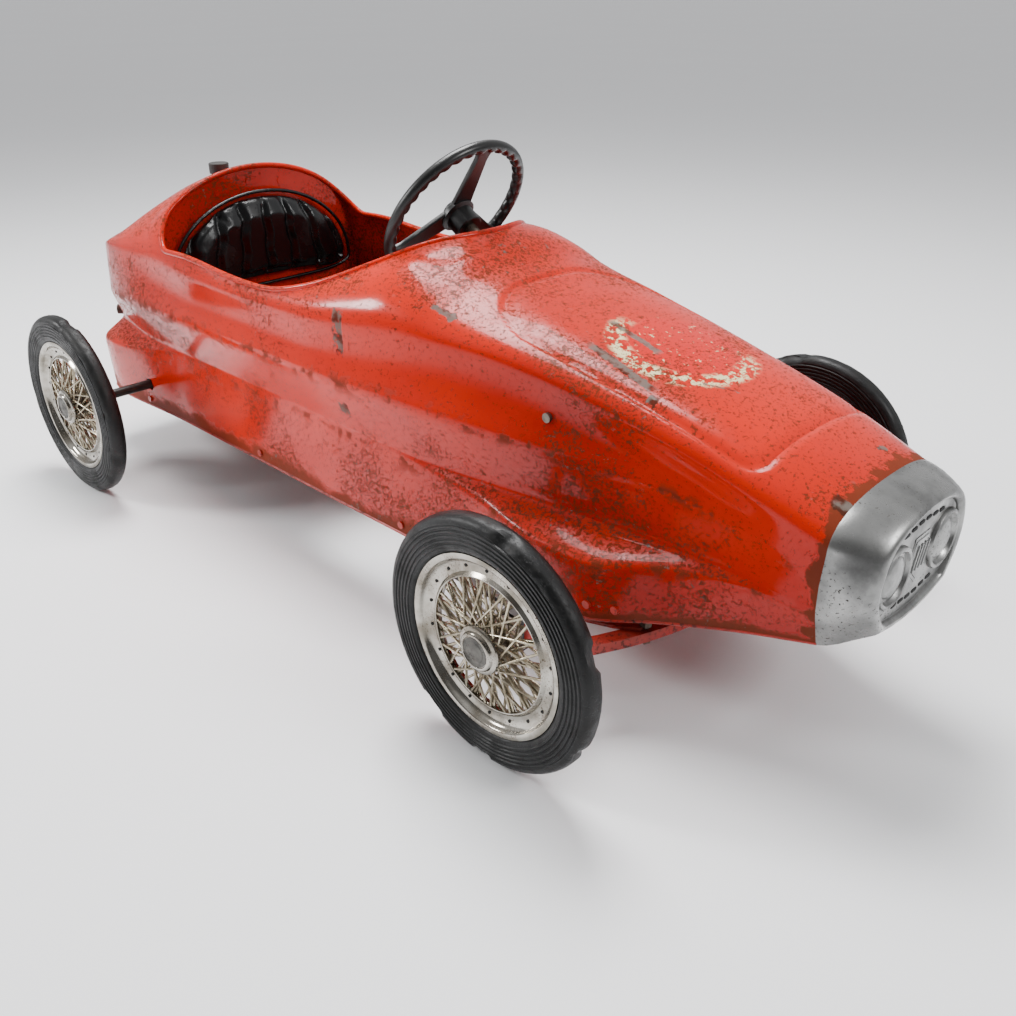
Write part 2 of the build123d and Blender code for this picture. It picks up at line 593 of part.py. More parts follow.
# the finger's side travel grows with the tangent of the steering angle, the tie rod's with the sine
TRAVEL_GAP = STEER_ARM * (tan(SIDEWAYS) - sin(SIDEWAYS)) + FREE
TIE_ROD_ADVANCE = STEER_ARM * (1 - cos(SIDEWAYS)) + FREE
FINGER_SLOT_WIDTH = FINGER_DIAMETER / cos(SIDEWAYS) + TIE_ROD_THICKNESS * tan(SIDEWAYS) + 2 * TRAVEL_GAP
FINGER_SLOT_LENGTH = FINGER_DIAMETER / cos(SLOPE) + TIE_ROD_THICKNESS * tan(SLOPE) + 2 * TIE_ROD_ADVANCE
with BuildPart() as tie_rod:
    with BuildSketch(Plane.XY.offset(TIE_ROD_Z - TIE_ROD_THICKNESS / 2)):
        with Locations((TIE_ROD_X, 0)):
            SlotCenterToCenter(2 * KINGPIN_Y, TIE_ROD_WIDTH, rotation=90)
            Rectangle(FINGER_SLOT_LENGTH + 16, FINGER_SLOT_WIDTH + 20)
            Rectangle(FINGER_SLOT_LENGTH, FINGER_SLOT_WIDTH, mode=Mode.SUBTRACT)
        with Locations((TIE_ROD_X, KINGPIN_Y)):
            Circle(TIE_PIN_RADIUS + RUNNING, mode=Mode.SUBTRACT)
        with Locations((TIE_ROD_X, -KINGPIN_Y)):
            Circle(TIE_PIN_RADIUS + 0.35, mode=Mode.SUBTRACT)
    extrude(amount=TIE_ROD_THICKNESS)
save(tie_rod.part, "tie_rod")

wheel_plane = Plane(
    (STEERING_WHEEL_X, 0, STEERING_WHEEL_Z), x_dir=(0, -1, 0), z_dir=(-cos(SLOPE), 0, sin(SLOPE))
)
WHEEL_HUB_RADIUS = 15.0
WHEEL_HUB_FRONT = -26.0
RIM_CIRCLE = STEERING_WHEEL_RADIUS - STEERING_RIM_DIAMETER / 2
with BuildPart() as steering_wheel:
    with BuildSketch(Plane(wheel_plane.origin, x_dir=wheel_plane.x_dir, z_dir=wheel_plane.y_dir)):
        with Locations((RIM_CIRCLE, 0)):
            Circle(STEERING_RIM_DIAMETER / 2)
    revolve(axis=Axis(wheel_plane.origin, wheel_plane.z_dir))
    # hub and three flat spokes, wider at the hub
    with BuildSketch(wheel_plane.offset(WHEEL_HUB_FRONT)):
        Circle(WHEEL_HUB_RADIUS)
    extrude(amount=-WHEEL_HUB_FRONT)
    with BuildSketch(wheel_plane.offset(-6)):
        for turn in (90, 210, 330):
            with Locations(Location((0, 0), turn)):
                with BuildLine(mode=Mode.PRIVATE) as spoke:
                    Polyline((0, -11), (RIM_CIRCLE, -6.5), (RIM_CIRCLE, 6.5), (0, 11), close=True)
                add(make_face(spoke.edges(), mode=Mode.PRIVATE))
    extrude(amount=6)
    with BuildSketch(wheel_plane):
        Circle(COLUMN_DIAMETER / 2)
    extrude(amount=2 * WHEEL_HUB_FRONT, both=True, mode=Mode.SUBTRACT)
save(steering_wheel.part, "steering_wheel")

with BuildPart() as steering_wheel_nut:
    with BuildSketch(wheel_plane):
        Circle(12)
    extrude(amount=7)
    fillet(steering_wheel_nut.edges(), 1.5)
save(steering_wheel_nut.part, "steering_wheel_nut")

column_plane = Plane(wheel_plane.origin, x_dir=(0, 1, 0), z_dir=(cos(SLOPE), 0, -sin(SLOPE)))
finger_along = (FINGER_ROOT_X - STEERING_WHEEL_X) / cos(SLOPE)
COLUMN_LENGTH = finger_along + BUSH_GAP + BUSH_LENGTH + 4
finger_plane = Plane(
    (FINGER_ROOT_X, 0, column_height(FINGER_ROOT_X)), x_dir=(0, 1, 0), z_dir=(-sin(SLOPE), 0, -cos(SLOPE))
)
with BuildPart() as steering_column:
    with BuildSketch(column_plane):
        Circle(COLUMN_DIAMETER / 2)
    extrude(amount=COLUMN_LENGTH)
    with BuildSketch(finger_plane):
        Circle(FINGER_DIAMETER / 2)
    extrude(amount=STEER_ARM + 8)
save(steering_column.part, "steering_column")

UPPER_BUSH_ALONG = 92.0
with BuildPart() as column_bracket_upper:
    with BuildSketch(column_plane.offset(UPPER_BUSH_ALONG)):
        Circle(BUSH_RADIUS)
    extrude(amount=BUSH_LENGTH)
    middle_x = STEERING_WHEEL_X + (UPPER_BUSH_ALONG + BUSH_LENGTH / 2) * cos(SLOPE)
    with BuildSketch(Plane.XY.offset(column_height(middle_x))):
        with Locations((middle_x, 0)):
            Rectangle(PLATE, 60)
            Rectangle(BUSH_LENGTH, 2 * BUSH_RADIUS - 4)
    extrude(amount=200)
    add(inside.part, mode=Mode.INTERSECT)
    with BuildSketch(column_plane):
        Circle(COLUMN_DIAMETER / 2 + RUNNING)
    extrude(amount=COLUMN_LENGTH, mode=Mode.SUBTRACT)
save(column_bracket_upper.part, "column_bracket_upper")

with BuildPart() as column_bracket_lower:
    with BuildSketch(column_plane.offset(finger_along + BUSH_GAP)):
        Circle(BUSH_RADIUS)
    extrude(amount=BUSH_LENGTH)
    with BuildSketch(Plane.XY.offset(RAIL_BOTTOM + RAIL_SIZE)):
        with Locations((bush_x, 0)):
            Rectangle(PLATE + 1, 44)
    extrude(until=Until.NEXT)
    with BuildSketch(column_plane):
        Circle(COLUMN_DIAMETER / 2 + RUNNING)
    extrude(amount=COLUMN_LENGTH + 5, mode=Mode.SUBTRACT)
save(column_bracket_lower.part, "column_bracket_lower")

# ---------------------------------------------------------------- pedals
LEVER_THICKNESS = 5.0
LEVER_BOSS_RADIUS = 10.0
LEVER_BOSS_WIDTH = 16.0
ROD_PIN_RADIUS = 4.0
PEDAL_SPINDLE_RADIUS = 4.0
PEDAL_PAD_GAP = 2.0


def lever_angle(side: int) -> float:
    """Swing of a pedal lever from the vertical, where its pivot meets the rod's front eye."""
    pin_x, pin_z = CRANK_PIN[side]
    gap_x, gap_z = PEDAL_SHAFT_X - pin_x, PEDAL_SHAFT_Z - pin_z
    gap = hypot(gap_x, gap_z)
    corner = (PEDAL_LEVER_LENGTH**2 + gap**2 - ROD_LENGTH**2) / (2 * PEDAL_LEVER_LENGTH * gap)
    towards_pin = atan2(-gap_z, -gap_x)
    return towards_pin + acos(corner) + pi / 2


with BuildPart() as pedal_shaft:
    with BuildSketch(Plane.XZ.offset(-RAIL_PLANE)):
        with Locations((PEDAL_SHAFT_X, PEDAL_SHAFT_Z)):
            Circle(PEDAL_SHAFT_DIAMETER / 2)
    extrude(amount=2 * RAIL_PLANE)
save(pedal_shaft.part, "pedal_shaft")

with BuildPart() as pedal_sockets:
    for side in (1, -1):
        with BuildSketch(Plane((PEDAL_SHAFT_X, side * (RAIL_PLANE - 8), PEDAL_SHAFT_Z), x_dir=(1, 0, 0),
                               z_dir=(0, side, 0))):
            Circle(BUSH_RADIUS)
        extrude(amount=60)
    add(inside.part, mode=Mode.INTERSECT)
    add(pedal_shaft.part, mode=Mode.SUBTRACT)
save(pedal_sockets.part, "pedal_sockets")

with BuildPart() as pedal_collars:
    for side in (1, -1):
        for inner in (LEVER_PLANE - LEVER_BOSS_WIDTH / 2 - SIDE_GAP - 6,
                      LEVER_PLANE + LEVER_BOSS_WIDTH / 2 + SIDE_GAP):
            with BuildSketch(Plane((PEDAL_SHAFT_X, side * inner, PEDAL_SHAFT_Z), x_dir=(1, 0, 0),
                                   z_dir=(0, side, 0))):
                Circle(PEDAL_SHAFT_DIAMETER / 2 + 4)
                Circle(PEDAL_SHAFT_DIAMETER / 2, mode=Mode.SUBTRACT)
            extrude(amount=6)
save(pedal_collars.part, "pedal_collars")

for side in (1, -1):
    swing = lever_angle(side)
    down = (sin(swing), -cos(swing))
    lever_x = PEDAL_SHAFT_X + PEDAL_LEVER_LENGTH * down[0]
    lever_z = PEDAL_SHAFT_Z + PEDAL_LEVER_LENGTH * down[1]
    pad_x = PEDAL_SHAFT_X + PEDAL_PAD_DROP * down[0]
    pad_z = PEDAL_SHAFT_Z + PEDAL_PAD_DROP * down[1]

    def across(x: float, y: float, z: float) -> Plane:
        """Plane square to the car's width at a point, facing out on this side."""
        return Plane((x, side * y, z), x_dir=(1, 0, 0), z_dir=(0, side, 0))

    with BuildPart() as pedal_lever:
        with BuildSketch(across(PEDAL_SHAFT_X, LEVER_PLANE - LEVER_THICKNESS / 2, PEDAL_SHAFT_Z)):
            lean = degrees(atan2(down[1] * -side, down[0]))
            middle = (down[0] * PEDAL_LEVER_LENGTH / 2, -side * down[1] * PEDAL_LEVER_LENGTH / 2)
            with Locations(Location(middle, lean)):
                SlotCenterToCenter(PEDAL_LEVER_LENGTH, 18)
        extrude(amount=LEVER_THICKNESS)
        with BuildSketch(across(PEDAL_SHAFT_X, LEVER_PLANE - LEVER_BOSS_WIDTH / 2, PEDAL_SHAFT_Z)):
            Circle(LEVER_BOSS_RADIUS)
        extrude(amount=LEVER_BOSS_WIDTH)
        with BuildSketch(across(lever_x, LEVER_PLANE, lever_z)):
            Circle(ROD_PIN_RADIUS)
        extrude(amount=ROD_PLANE - ROD_THICKNESS / 2 - PIVOT_GAP - LEVER_PLANE)
        with BuildSketch(across(pad_x, LEVER_PLANE, pad_z)):
            Circle(PEDAL_SPINDLE_RADIUS)
        extrude(amount=-(LEVER_THICKNESS / 2 + PEDAL_PAD_GAP + PEDAL_PAD_WIDTH))
        with BuildSketch(across(PEDAL_SHAFT_X, 0, PEDAL_SHAFT_Z)):
            Circle(PEDAL_SHAFT_DIAMETER / 2 + RUNNING)
        extrude(amount=BODY_WIDTH, mode=Mode.SUBTRACT)
    save(pedal_lever.part, f"pedal_lever_{side_name(side)}")

    with BuildPart() as pedal_pad:
        outer = LEVER_PLANE - LEVER_THICKNESS / 2 - PEDAL_PAD_GAP
        with BuildSketch(across(pad_x, outer, pad_z)):
            lean = degrees(atan2(down[1] * -side, down[0]))
            with Locations(Location((0, 0), lean)):
                RectangleRounded(46, 18, 4)
            Circle(PEDAL_SPINDLE_RADIUS, mode=Mode.SUBTRACT)
        extrude(amount=-PEDAL_PAD_WIDTH)
    save(pedal_pad.part, f"pedal_pad_{side_name(side)}")

    pin_x, pin_z = CRANK_PIN[side]
    with BuildPart() as pedal_rod:
        with BuildSketch(across(pin_x, ROD_PLANE - ROD_THICKNESS / 2, pin_z)):
            run = (lever_x - pin_x, -side * (lever_z - pin_z))
            with Locations(Location((run[0] / 2, run[1] / 2), degrees(atan2(run[1], run[0])))):
                Rectangle(ROD_LENGTH, ROD_HEIGHT)
            with Locations((0, 0), run):
                Circle(ROD_HEIGHT / 2 + 3)
            Circle(CRANK_PIN_DIAMETER / 2 + RUNNING, mode=Mode.SUBTRACT)
            with Locations(run):
                Circle(ROD_PIN_RADIUS + FREE / 2, mode=Mode.SUBTRACT)
        extrude(amount=ROD_THICKNESS)
    save(pedal_rod.part, f"pedal_rod_{side_name(side)}")

# ---------------------------------------------------------------- rear axle
WEB_THICKNESS = 6.0
WEB_WIDTH = 18.0
HANGER_THICKNESS = 4.0
inner_web = ROD_PLANE - ROD_THICKNESS / 2 - FREE - WEB_THICKNESS
outer_web = ROD_PLANE + ROD_THICKNESS / 2 + FREE
HANGER_Y = RAIL_IN - HANGER_THICKNESS
REAR_AXLE_END = WHEEL_PLANE + 14.0


def crosswise(x: float, y: float, z: float) -> Plane:
    """Plane square to the car's width, facing left, with x along the car and -z up its sketch."""
    return Plane((x, y, z), x_dir=(1, 0, 0), z_dir=(0, 1, 0))


with BuildPart() as rear_axle:
    for start, end in ((-REAR_AXLE_END, -outer_web), (-inner_web, inner_web), (outer_web, REAR_AXLE_END)):
        with BuildSketch(crosswise(REAR_AXLE_X, start, AXLE_Z)):
            Circle(AXLE_DIAMETER / 2)
        extrude(amount=end - start)
    for side in (1, -1):
        pin_x, pin_z = CRANK_PIN[side]
        run = (pin_x - REAR_AXLE_X, AXLE_Z - pin_z)
        for web in (inner_web, outer_web):
            start = web if side > 0 else -web - WEB_THICKNESS
            with BuildSketch(crosswise(REAR_AXLE_X, start, AXLE_Z)):
                with Locations(Location((run[0] / 2, run[1] / 2), degrees(atan2(run[1], run[0])))):
                    SlotCenterToCenter(CRANK_RADIUS, WEB_WIDTH)
            extrude(amount=WEB_THICKNESS)
        start = inner_web if side > 0 else -outer_web - WEB_THICKNESS
        with BuildSketch(crosswise(pin_x, start, pin_z)):
            Circle(CRANK_PIN_DIAMETER / 2)
        extrude(amount=outer_web + WEB_THICKNESS - inner_web)
save(rear_axle.part, "rear_axle")

AXLE_BUSH_RADIUS = 10.0
HANGER_TOP = AXLE_Z + AXLE_BUSH_RADIUS + 8
with BuildPart() as axle_hangers:
    for start in (HANGER_Y, -RAIL_IN):
        with BuildSketch(crosswise(REAR_AXLE_X, start, AXLE_Z)):
            with Locations((0, AXLE_Z - (HANGER_TOP + RAIL_BOTTOM) / 2)):
                RectangleRounded(44, HANGER_TOP - RAIL_BOTTOM, 6)
            Circle(AXLE_BUSH_RADIUS, mode=Mode.SUBTRACT)
        extrude(amount=HANGER_THICKNESS)
save(axle_hangers.part, "axle_hangers")

with BuildPart() as axle_bushes:
    for start in (HANGER_Y, -RAIL_IN):
        with BuildSketch(crosswise(REAR_AXLE_X, start, AXLE_Z)):
            Circle(AXLE_BUSH_RADIUS)
            Circle(AXLE_DIAMETER / 2 + RUNNING, mode=Mode.SUBTRACT)
        extrude(amount=HANGER_THICKNESS)
save(axle_bushes.part, "axle_bushes")

# ---------------------------------------------------------------- wheels
HUB_OUT = 10.0  # outer end of the hub, from the middle plane of the tyre
HUB_CAP_OUT = 17.0
NUT_THICKNESS = 4.0
TYRE_SEAT = 74.0
TREAD = TYRE_RADIUS - 3.0
HALF_TYRE = TYRE_WIDTH / 2
HALF_RIM = RIM_WIDTH / 2


def around_axle(side: int, x: float) -> tuple:
    """Sketch plane with its x out from the axle and its y outwards from the car, and the axis."""
    plane = Plane((x, side * WHEEL_PLANE, AXLE_Z), x_dir=(1, 0, 0), z_dir=(0, 0, side))
    return plane, Axis((x, side * WHEEL_PLANE, AXLE_Z), (0, 1, 0))


def turned_ring(side: int, x: float, outline: list) -> Part:
    """Ring turned about an axle from (radius, outwards) points."""
    plane, axis = around_axle(side, x)
    with BuildPart() as ring:
        with BuildSketch(plane):
            with BuildLine():
                Polyline(*outline, close=True)
            make_face()
        revolve(axis=axis)
    return ring.part


def spoke_cage(side: int, x: float) -> Part:
    """Two cones of crossed spokes between the hub flanges and the rim well."""
    with BuildPart() as cage:
        for face in (1, -1):
            flange = [(HUB_RADIUS, face * 7), (HUB_RADIUS + 3, face * 7), (HUB_RADIUS + 3, face * 10),
                      (HUB_RADIUS, face * 10)]
            well = [(RIM_OPENING - 2, face * 0.6), (RIM_OPENING, face * 0.6), (RIM_OPENING, face * 4),
                    (RIM_OPENING - 2, face * 4)]
            add(turned_ring(side, x, flange))
            add(turned_ring(side, x, well))
        for number in range(SPOKES_EACH_WAY):
            for face in (1, -1):
                for lean in (1, -1):
                    start_turn = radians(360 * (number + 0.25 * face) / SPOKES_EACH_WAY)
                    end_turn = start_turn + lean * radians(38)
                    start = Vector(x + (HUB_RADIUS + 1.5) * cos(start_turn),
                                   side * (WHEEL_PLANE + face * 8.5),
                                   AXLE_Z + (HUB_RADIUS + 1.5) * sin(start_turn))
                    end = Vector(x + (RIM_OPENING - 1) * cos(end_turn),
                                 side * (WHEEL_PLANE + face * 2.3),
                                 AXLE_Z + (RIM_OPENING - 1) * sin(end_turn))
                    with BuildSketch(Plane(start, z_dir=end - start)):
                        Circle(SPOKE_DIAMETER / 2)
                    extrude(amount=(end - start).length)
    return cage.part


WHEELS = {
    "front_left": (1, FRONT_AXLE_X, STUB_DIAMETER / 2 + RUNNING),
    "front_right": (-1, FRONT_AXLE_X, STUB_DIAMETER / 2 + RUNNING),
    "rear_left": (1, REAR_AXLE_X, AXLE_DIAMETER / 2),
    "rear_right": (-1, REAR_AXLE_X, AXLE_DIAMETER / 2),
}
TYRE = [(TYRE_SEAT, -HALF_RIM + 1.5), (TYRE_SEAT, HALF_RIM - 1.5), (RIM_RADIUS, HALF_RIM - 1.5),
        (RIM_RADIUS, HALF_RIM), (RIM_RADIUS + 5, HALF_TYRE), (TREAD - 6, HALF_TYRE),
        (TREAD, HALF_TYRE - 2.5), (TYRE_RADIUS, HALF_TYRE - 6), (TYRE_RADIUS, -HALF_TYRE + 6),
        (TREAD, -HALF_TYRE + 2.5), (TREAD - 6, -HALF_TYRE), (RIM_RADIUS + 5, -HALF_TYRE),
        (RIM_RADIUS, -HALF_RIM), (RIM_RADIUS, -HALF_RIM + 1.5)]
RIM = [(RIM_RADIUS, HALF_RIM), (RIM_RADIUS, HALF_RIM - 1.5), (TYRE_SEAT, HALF_RIM - 1.5),
       (TYRE_SEAT, -HALF_RIM + 1.5), (RIM_RADIUS, -HALF_RIM + 1.5), (RIM_RADIUS, -HALF_RIM),
       (RIM_RADIUS - 5, -HALF_RIM), (RIM_OPENING + 2, -4), (RIM_OPENING, -4), (RIM_OPENING, 4),
       (RIM_OPENING + 2, 4), (RIM_RADIUS - 5, HALF_RIM)]
for name, (side, x, bore) in WHEELS.items():
    save(turned_ring(side, x, TYRE), f"{name}_tyre")
    save(turned_ring(side, x, RIM), f"{name}_rim")
    save(spoke_cage(side, x), f"{name}_spokes")
    hub = [(bore, HUB_OUT - HUB_LENGTH), (bore, HUB_OUT), (HUB_RADIUS, HUB_OUT),
           (HUB_RADIUS, HUB_OUT - HUB_LENGTH)]
    save(turned_ring(side, x, hub), f"{name}_hub")
    cap = [(HUB_RADIUS, HUB_OUT), (HUB_CAP_RADIUS, HUB_OUT), (HUB_CAP_RADIUS - 1, HUB_OUT + 4),
           (HUB_CAP_RADIUS - 7, HUB_CAP_OUT - 0.6), (0, HUB_CAP_OUT), (0, HUB_CAP_OUT - 1.5),
           (HUB_RADIUS - 2, HUB_CAP_OUT - 2.5), (HUB_RADIUS - 1, HUB_OUT)]
    save(turned_ring(side, x, cap), f"{name}_hub_cap")

NUT_START = HUB_OUT + 0.4
for name, side, x, radius in (("stub_nut_left", 1, FRONT_AXLE_X, STUB_DIAMETER / 2),
                              ("stub_nut_right", -1, FRONT_AXLE_X, STUB_DIAMETER / 2)):
    with BuildPart() as nut:
        with BuildSketch(Plane((x, side * (WHEEL_PLANE + NUT_START), AXLE_Z), z_dir=(0, side, 0))):
            RegularPolygon(9, 6)
            Circle(radius, mode=Mode.SUBTRACT)
        extrude(amount=NUT_THICKNESS)
    save(nut.part, name)
with BuildPart() as axle_nuts:
    for side in (1, -1):
        with BuildSketch(Plane((REAR_AXLE_X, side * (WHEEL_PLANE + HUB_OUT), AXLE_Z), z_dir=(0, side, 0))):
            RegularPolygon(10, 6)
            Circle(AXLE_DIAMETER / 2, mode=Mode.SUBTRACT)
        extrude(amount=NUT_THICKNESS)
save(axle_nuts.part, "axle_nuts")
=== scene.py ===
"""Looks of a child's pressed-steel pedal racing car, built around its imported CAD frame.

+X points to the nose, +Y to the driver's left, +Z up, and every length is in metres.
"""
import logging
import math
import random
from dataclasses import dataclass, field
from enum import Enum

import bmesh
import bpy
from mathutils import Matrix, Vector, noise


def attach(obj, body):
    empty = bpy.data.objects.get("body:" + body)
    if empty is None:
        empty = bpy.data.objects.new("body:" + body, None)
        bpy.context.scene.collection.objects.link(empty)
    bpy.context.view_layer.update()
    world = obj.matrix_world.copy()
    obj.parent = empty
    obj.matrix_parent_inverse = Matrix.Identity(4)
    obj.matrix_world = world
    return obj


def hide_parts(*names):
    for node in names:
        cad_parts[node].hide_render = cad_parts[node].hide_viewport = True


LOG = logging.getLogger("pedal_car")
MM = 0.001
FRAME_BODY = "frame_and_body"
SIDES = {"left": 1, "right": -1}

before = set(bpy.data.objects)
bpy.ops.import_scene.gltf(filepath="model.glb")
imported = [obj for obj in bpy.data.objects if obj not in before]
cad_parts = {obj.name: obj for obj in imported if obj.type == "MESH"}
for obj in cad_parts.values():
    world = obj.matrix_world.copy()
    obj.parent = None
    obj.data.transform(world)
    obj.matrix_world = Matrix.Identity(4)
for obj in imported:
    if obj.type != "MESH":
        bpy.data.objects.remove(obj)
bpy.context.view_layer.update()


# ---------------------------------------------------------------- small tools
def colour(code: str) -> tuple:
    """Linear RGBA of an sRGB hex code."""
    parts = [int(code[at:at + 2], 16) / 255 for at in (0, 2, 4)]
    return tuple(p / 12.92 if p <= 0.04045 else ((p + 0.055) / 1.055) ** 2.4 for p in parts) + (1.0,)


def smooth(value: float, low: float, high: float) -> float:
    """Smooth step from 0 at low to 1 at high."""
    t = min(max((value - low) / (high - low), 0.0), 1.0)
    return t * t * (3 - 2 * t)


class Edge(Enum):
    """How sharply a piece's shading breaks at an edge, in degrees."""

    SOFT = 60
    CRISP = 32


def make_piece(name: str, verts: list, faces: list, finish: bpy.types.Material, body: str, slot: str,
               replaced: tuple = (), edge: Edge = Edge.CRISP) -> bpy.types.Object:
    """Mesh object at the origin, dressed, riding on a body and standing for CAD nodes.

    Args:
        name: Name of the piece.
        verts: Points in metres.
        faces: Tuples of point numbers.
        finish: Material of the piece.
        body: CAD body it rides on.
        slot: Material slot of the record it takes its finish from; not used.
        replaced: CAD nodes it stands for.
        edge: Shading break.

    Returns:
        The finished object.
    """
    obj = new_object(name, verts, faces)
    mesh = obj.data
    mesh.materials.append(finish)
    shell = bmesh.new()
    shell.from_mesh(mesh)
    bmesh.ops.remove_doubles(shell, verts=shell.verts, dist=1e-6)
    bmesh.ops.recalc_face_normals(shell, faces=shell.faces)
    shell.to_mesh(mesh)
    shell.free()
    settle(obj, body, replaced, edge)
    return obj


def settle(obj: bpy.types.Object, body: str, replaced: tuple = (),
           edge: Edge = Edge.CRISP) -> None:
    """Shades a piece, puts it on its body and hides the CAD nodes it stands for."""
    only(obj)
    bpy.ops.object.shade_smooth_by_angle(angle=math.radians(edge.value))
    obj.select_set(False)
    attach(obj, body)
    if replaced:
        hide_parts(*replaced)
    LOG.info("piece %s on %s: %d faces", obj.name, body, len(obj.data.polygons))


def only(obj: bpy.types.Object) -> None:
    """Selects one object alone and makes it active."""
    bpy.ops.object.select_all(action="DESELECT")
    obj.select_set(True)
    bpy.context.view_layer.objects.active = obj


def apply_modifier(obj: bpy.types.Object, kind: str, **settings: object) -> None:
    """Adds a modifier with its settings and applies it."""
    only(obj)
    modifier = obj.modifiers.new(kind.title(), kind)
    for key, value in settings.items():
        setattr(modifier, key, value)
    bpy.ops.object.modifier_apply(modifier=modifier.name)


def tube(path: list, radius: float, sides: int = 8, closed: bool = False) -> tuple:
    """Points and faces of a round tube along a path."""
    count = len(path)
    verts = []
    normal = None
    for at, point in enumerate(path):
        ahead = path[(at + 1) % count] if closed or at + 1 < count else path[at]
        behind = path[at - 1] if closed or at else path[at]
        along = (ahead - behind).normalized()
        if normal is None:
            normal = along.orthogonal()
        normal = (normal - along * normal.dot(along)).normalized()
        other = along.cross(normal)
        for side in range(sides):
            turn = 2 * math.pi * side / sides
            verts.append(point + (normal * math.cos(turn) + other * math.sin(turn)) * radius)
    faces = bands(count, sides, looped=closed)
    return verts, faces if closed else faces + ends(count, sides)


def bands(rows: int, width: int, closed: bool = True, looped: bool = False) -> list:
    """Faces between rows of points.

    Args:
        rows: How many rows there are.
        width: Points in a row.
        closed: Each row is a ring.
        looped: The last row meets the first.

    Returns:
        Tuples of point numbers.
    """
    faces = []
    for row in range(rows if looped else rows - 1):
        a, b = row * width, (row + 1) % rows * width
        for at in range(width if closed else width - 1):
            nxt = (at + 1) % width
            faces.append((a + at, a + nxt, b + nxt, b + at))
    return faces


def ends(rows: int, width: int) -> list:
    """Two faces that close the first and the last ring."""
    return [tuple(range(width)), tuple(range((rows - 1) * width, rows * width))]


def both_sides(half: list) -> list:
    """Whole row of (y, z) points from the left half, which starts on the middle line."""
    return [(-y, z) for y, z in half[:0:-1]] + [(y, z) for y, z in half]


def nearest(ring: list, px: float, py: float) -> tuple:
    """Point of a closed outline that is closest to another point."""
    best = (math.inf, px, py)
    for (ax, ay), (bx, by) in zip(ring, ring[1:] + ring[:1]):
        ex, ey = bx - ax, by - ay
        t = min(max(((px - ax) * ex + (py - ay) * ey) / max(ex * ex + ey * ey, 1e-12), 0), 1)
        qx, qy = ax + ex * t, ay + ey * t
        best = min(best, ((px - qx) ** 2 + (py - qy) ** 2, qx, qy), key=lambda found: found[0])
    return best[1:]


def inside(ring: list, px: float, py: float) -> bool:
    """Whether a point lies inside a closed outline."""
    odd = False
    for (ax, ay), (bx, by) in zip(ring, ring[1:] + ring[:1]):
        if (ay > py) != (by > py) and px < (bx - ax) * (py - ay) / (by - ay) + ax:
            odd = not odd
    return odd


def stadium(middle: tuple, half: float, radius: float, count: int) -> list:
    """Outline of a slot with round ends, or of a circle if half is 0."""
    points = []
    for at in range(count):
        turn = 2 * math.pi * at / count
        points.append((middle[0] + math.copysign(half, math.cos(turn)) + radius * math.cos(turn),
                       middle[1] + radius * math.sin(turn)))
    return points


def new_object(name: str, verts: list, faces: list, edges: tuple = ()) -> bpy.types.Object:
    """Bare mesh object from points in metres."""
    mesh = bpy.data.meshes.new(name)
    mesh.from_pydata([tuple(v) for v in verts], edges, faces)
    obj = bpy.data.objects.new(name, mesh)
    bpy.context.collection.objects.link(obj)
    return obj


def merge(parts: list) -> tuple:
    """One list of points and faces from several."""
    verts, faces = [], []
    for more_verts, more_faces in parts:
        base = len(verts)
        verts += more_verts
        faces += [tuple(base + index for index in face) for face in more_faces]
    return verts, faces


def turned(profile: list, centre: Vector, out: Vector, steps: int = 96, shut: bool = True) -> tuple:
    """Points and faces turned about an axis from (radius, outwards) points in mm."""
    across = Vector((1, 0, 0)) if abs(out.x) < 0.5 else Vector((0, 1, 0))
    across = (across - out * across.dot(out)).normalized()
    third = out.cross(across)
    verts, faces = [], []
    for step in range(steps):
        turn = 2 * math.pi * step / steps
        ray = across * math.cos(turn) + third * math.sin(turn)
        verts += [centre + ray * (r * MM) + out * (o * MM) for r, o in profile]
    size = len(profile)
    for step in range(steps):
        a, b = step * size, (step + 1) % steps * size
        for at in range(size if shut else size - 1):
            nxt = (at + 1) % size
            faces.append((a + at, b + at, b + nxt, a + nxt))
    return verts, faces


def spun(name: str, profile: list, centre: Vector, out: Vector, steps: int = 96) -> bpy.types.Object:
    """Object turned by the spin operator from a closed (radius, outwards) outline in mm."""
    across = Vector((1, 0, 0))
    points = [centre + across * (r * MM) + out * (o * MM) for r, o in profile]
    loop = [(at, (at + 1) % len(points)) for at in range(len(points))]
    obj = new_object(name, points, [], loop)
    only(obj)
    bpy.ops.object.mode_set(mode="EDIT")
    bpy.ops.mesh.select_all(action="SELECT")
    bpy.ops.mesh.spin(steps=steps, angle=2 * math.pi, center=centre, axis=out)
    bpy.ops.mesh.select_all(action="SELECT")
    bpy.ops.mesh.remove_doubles(threshold=1e-6)
    bpy.ops.mesh.normals_make_consistent(inside=False)
    bpy.ops.object.mode_set(mode="OBJECT")
    return obj


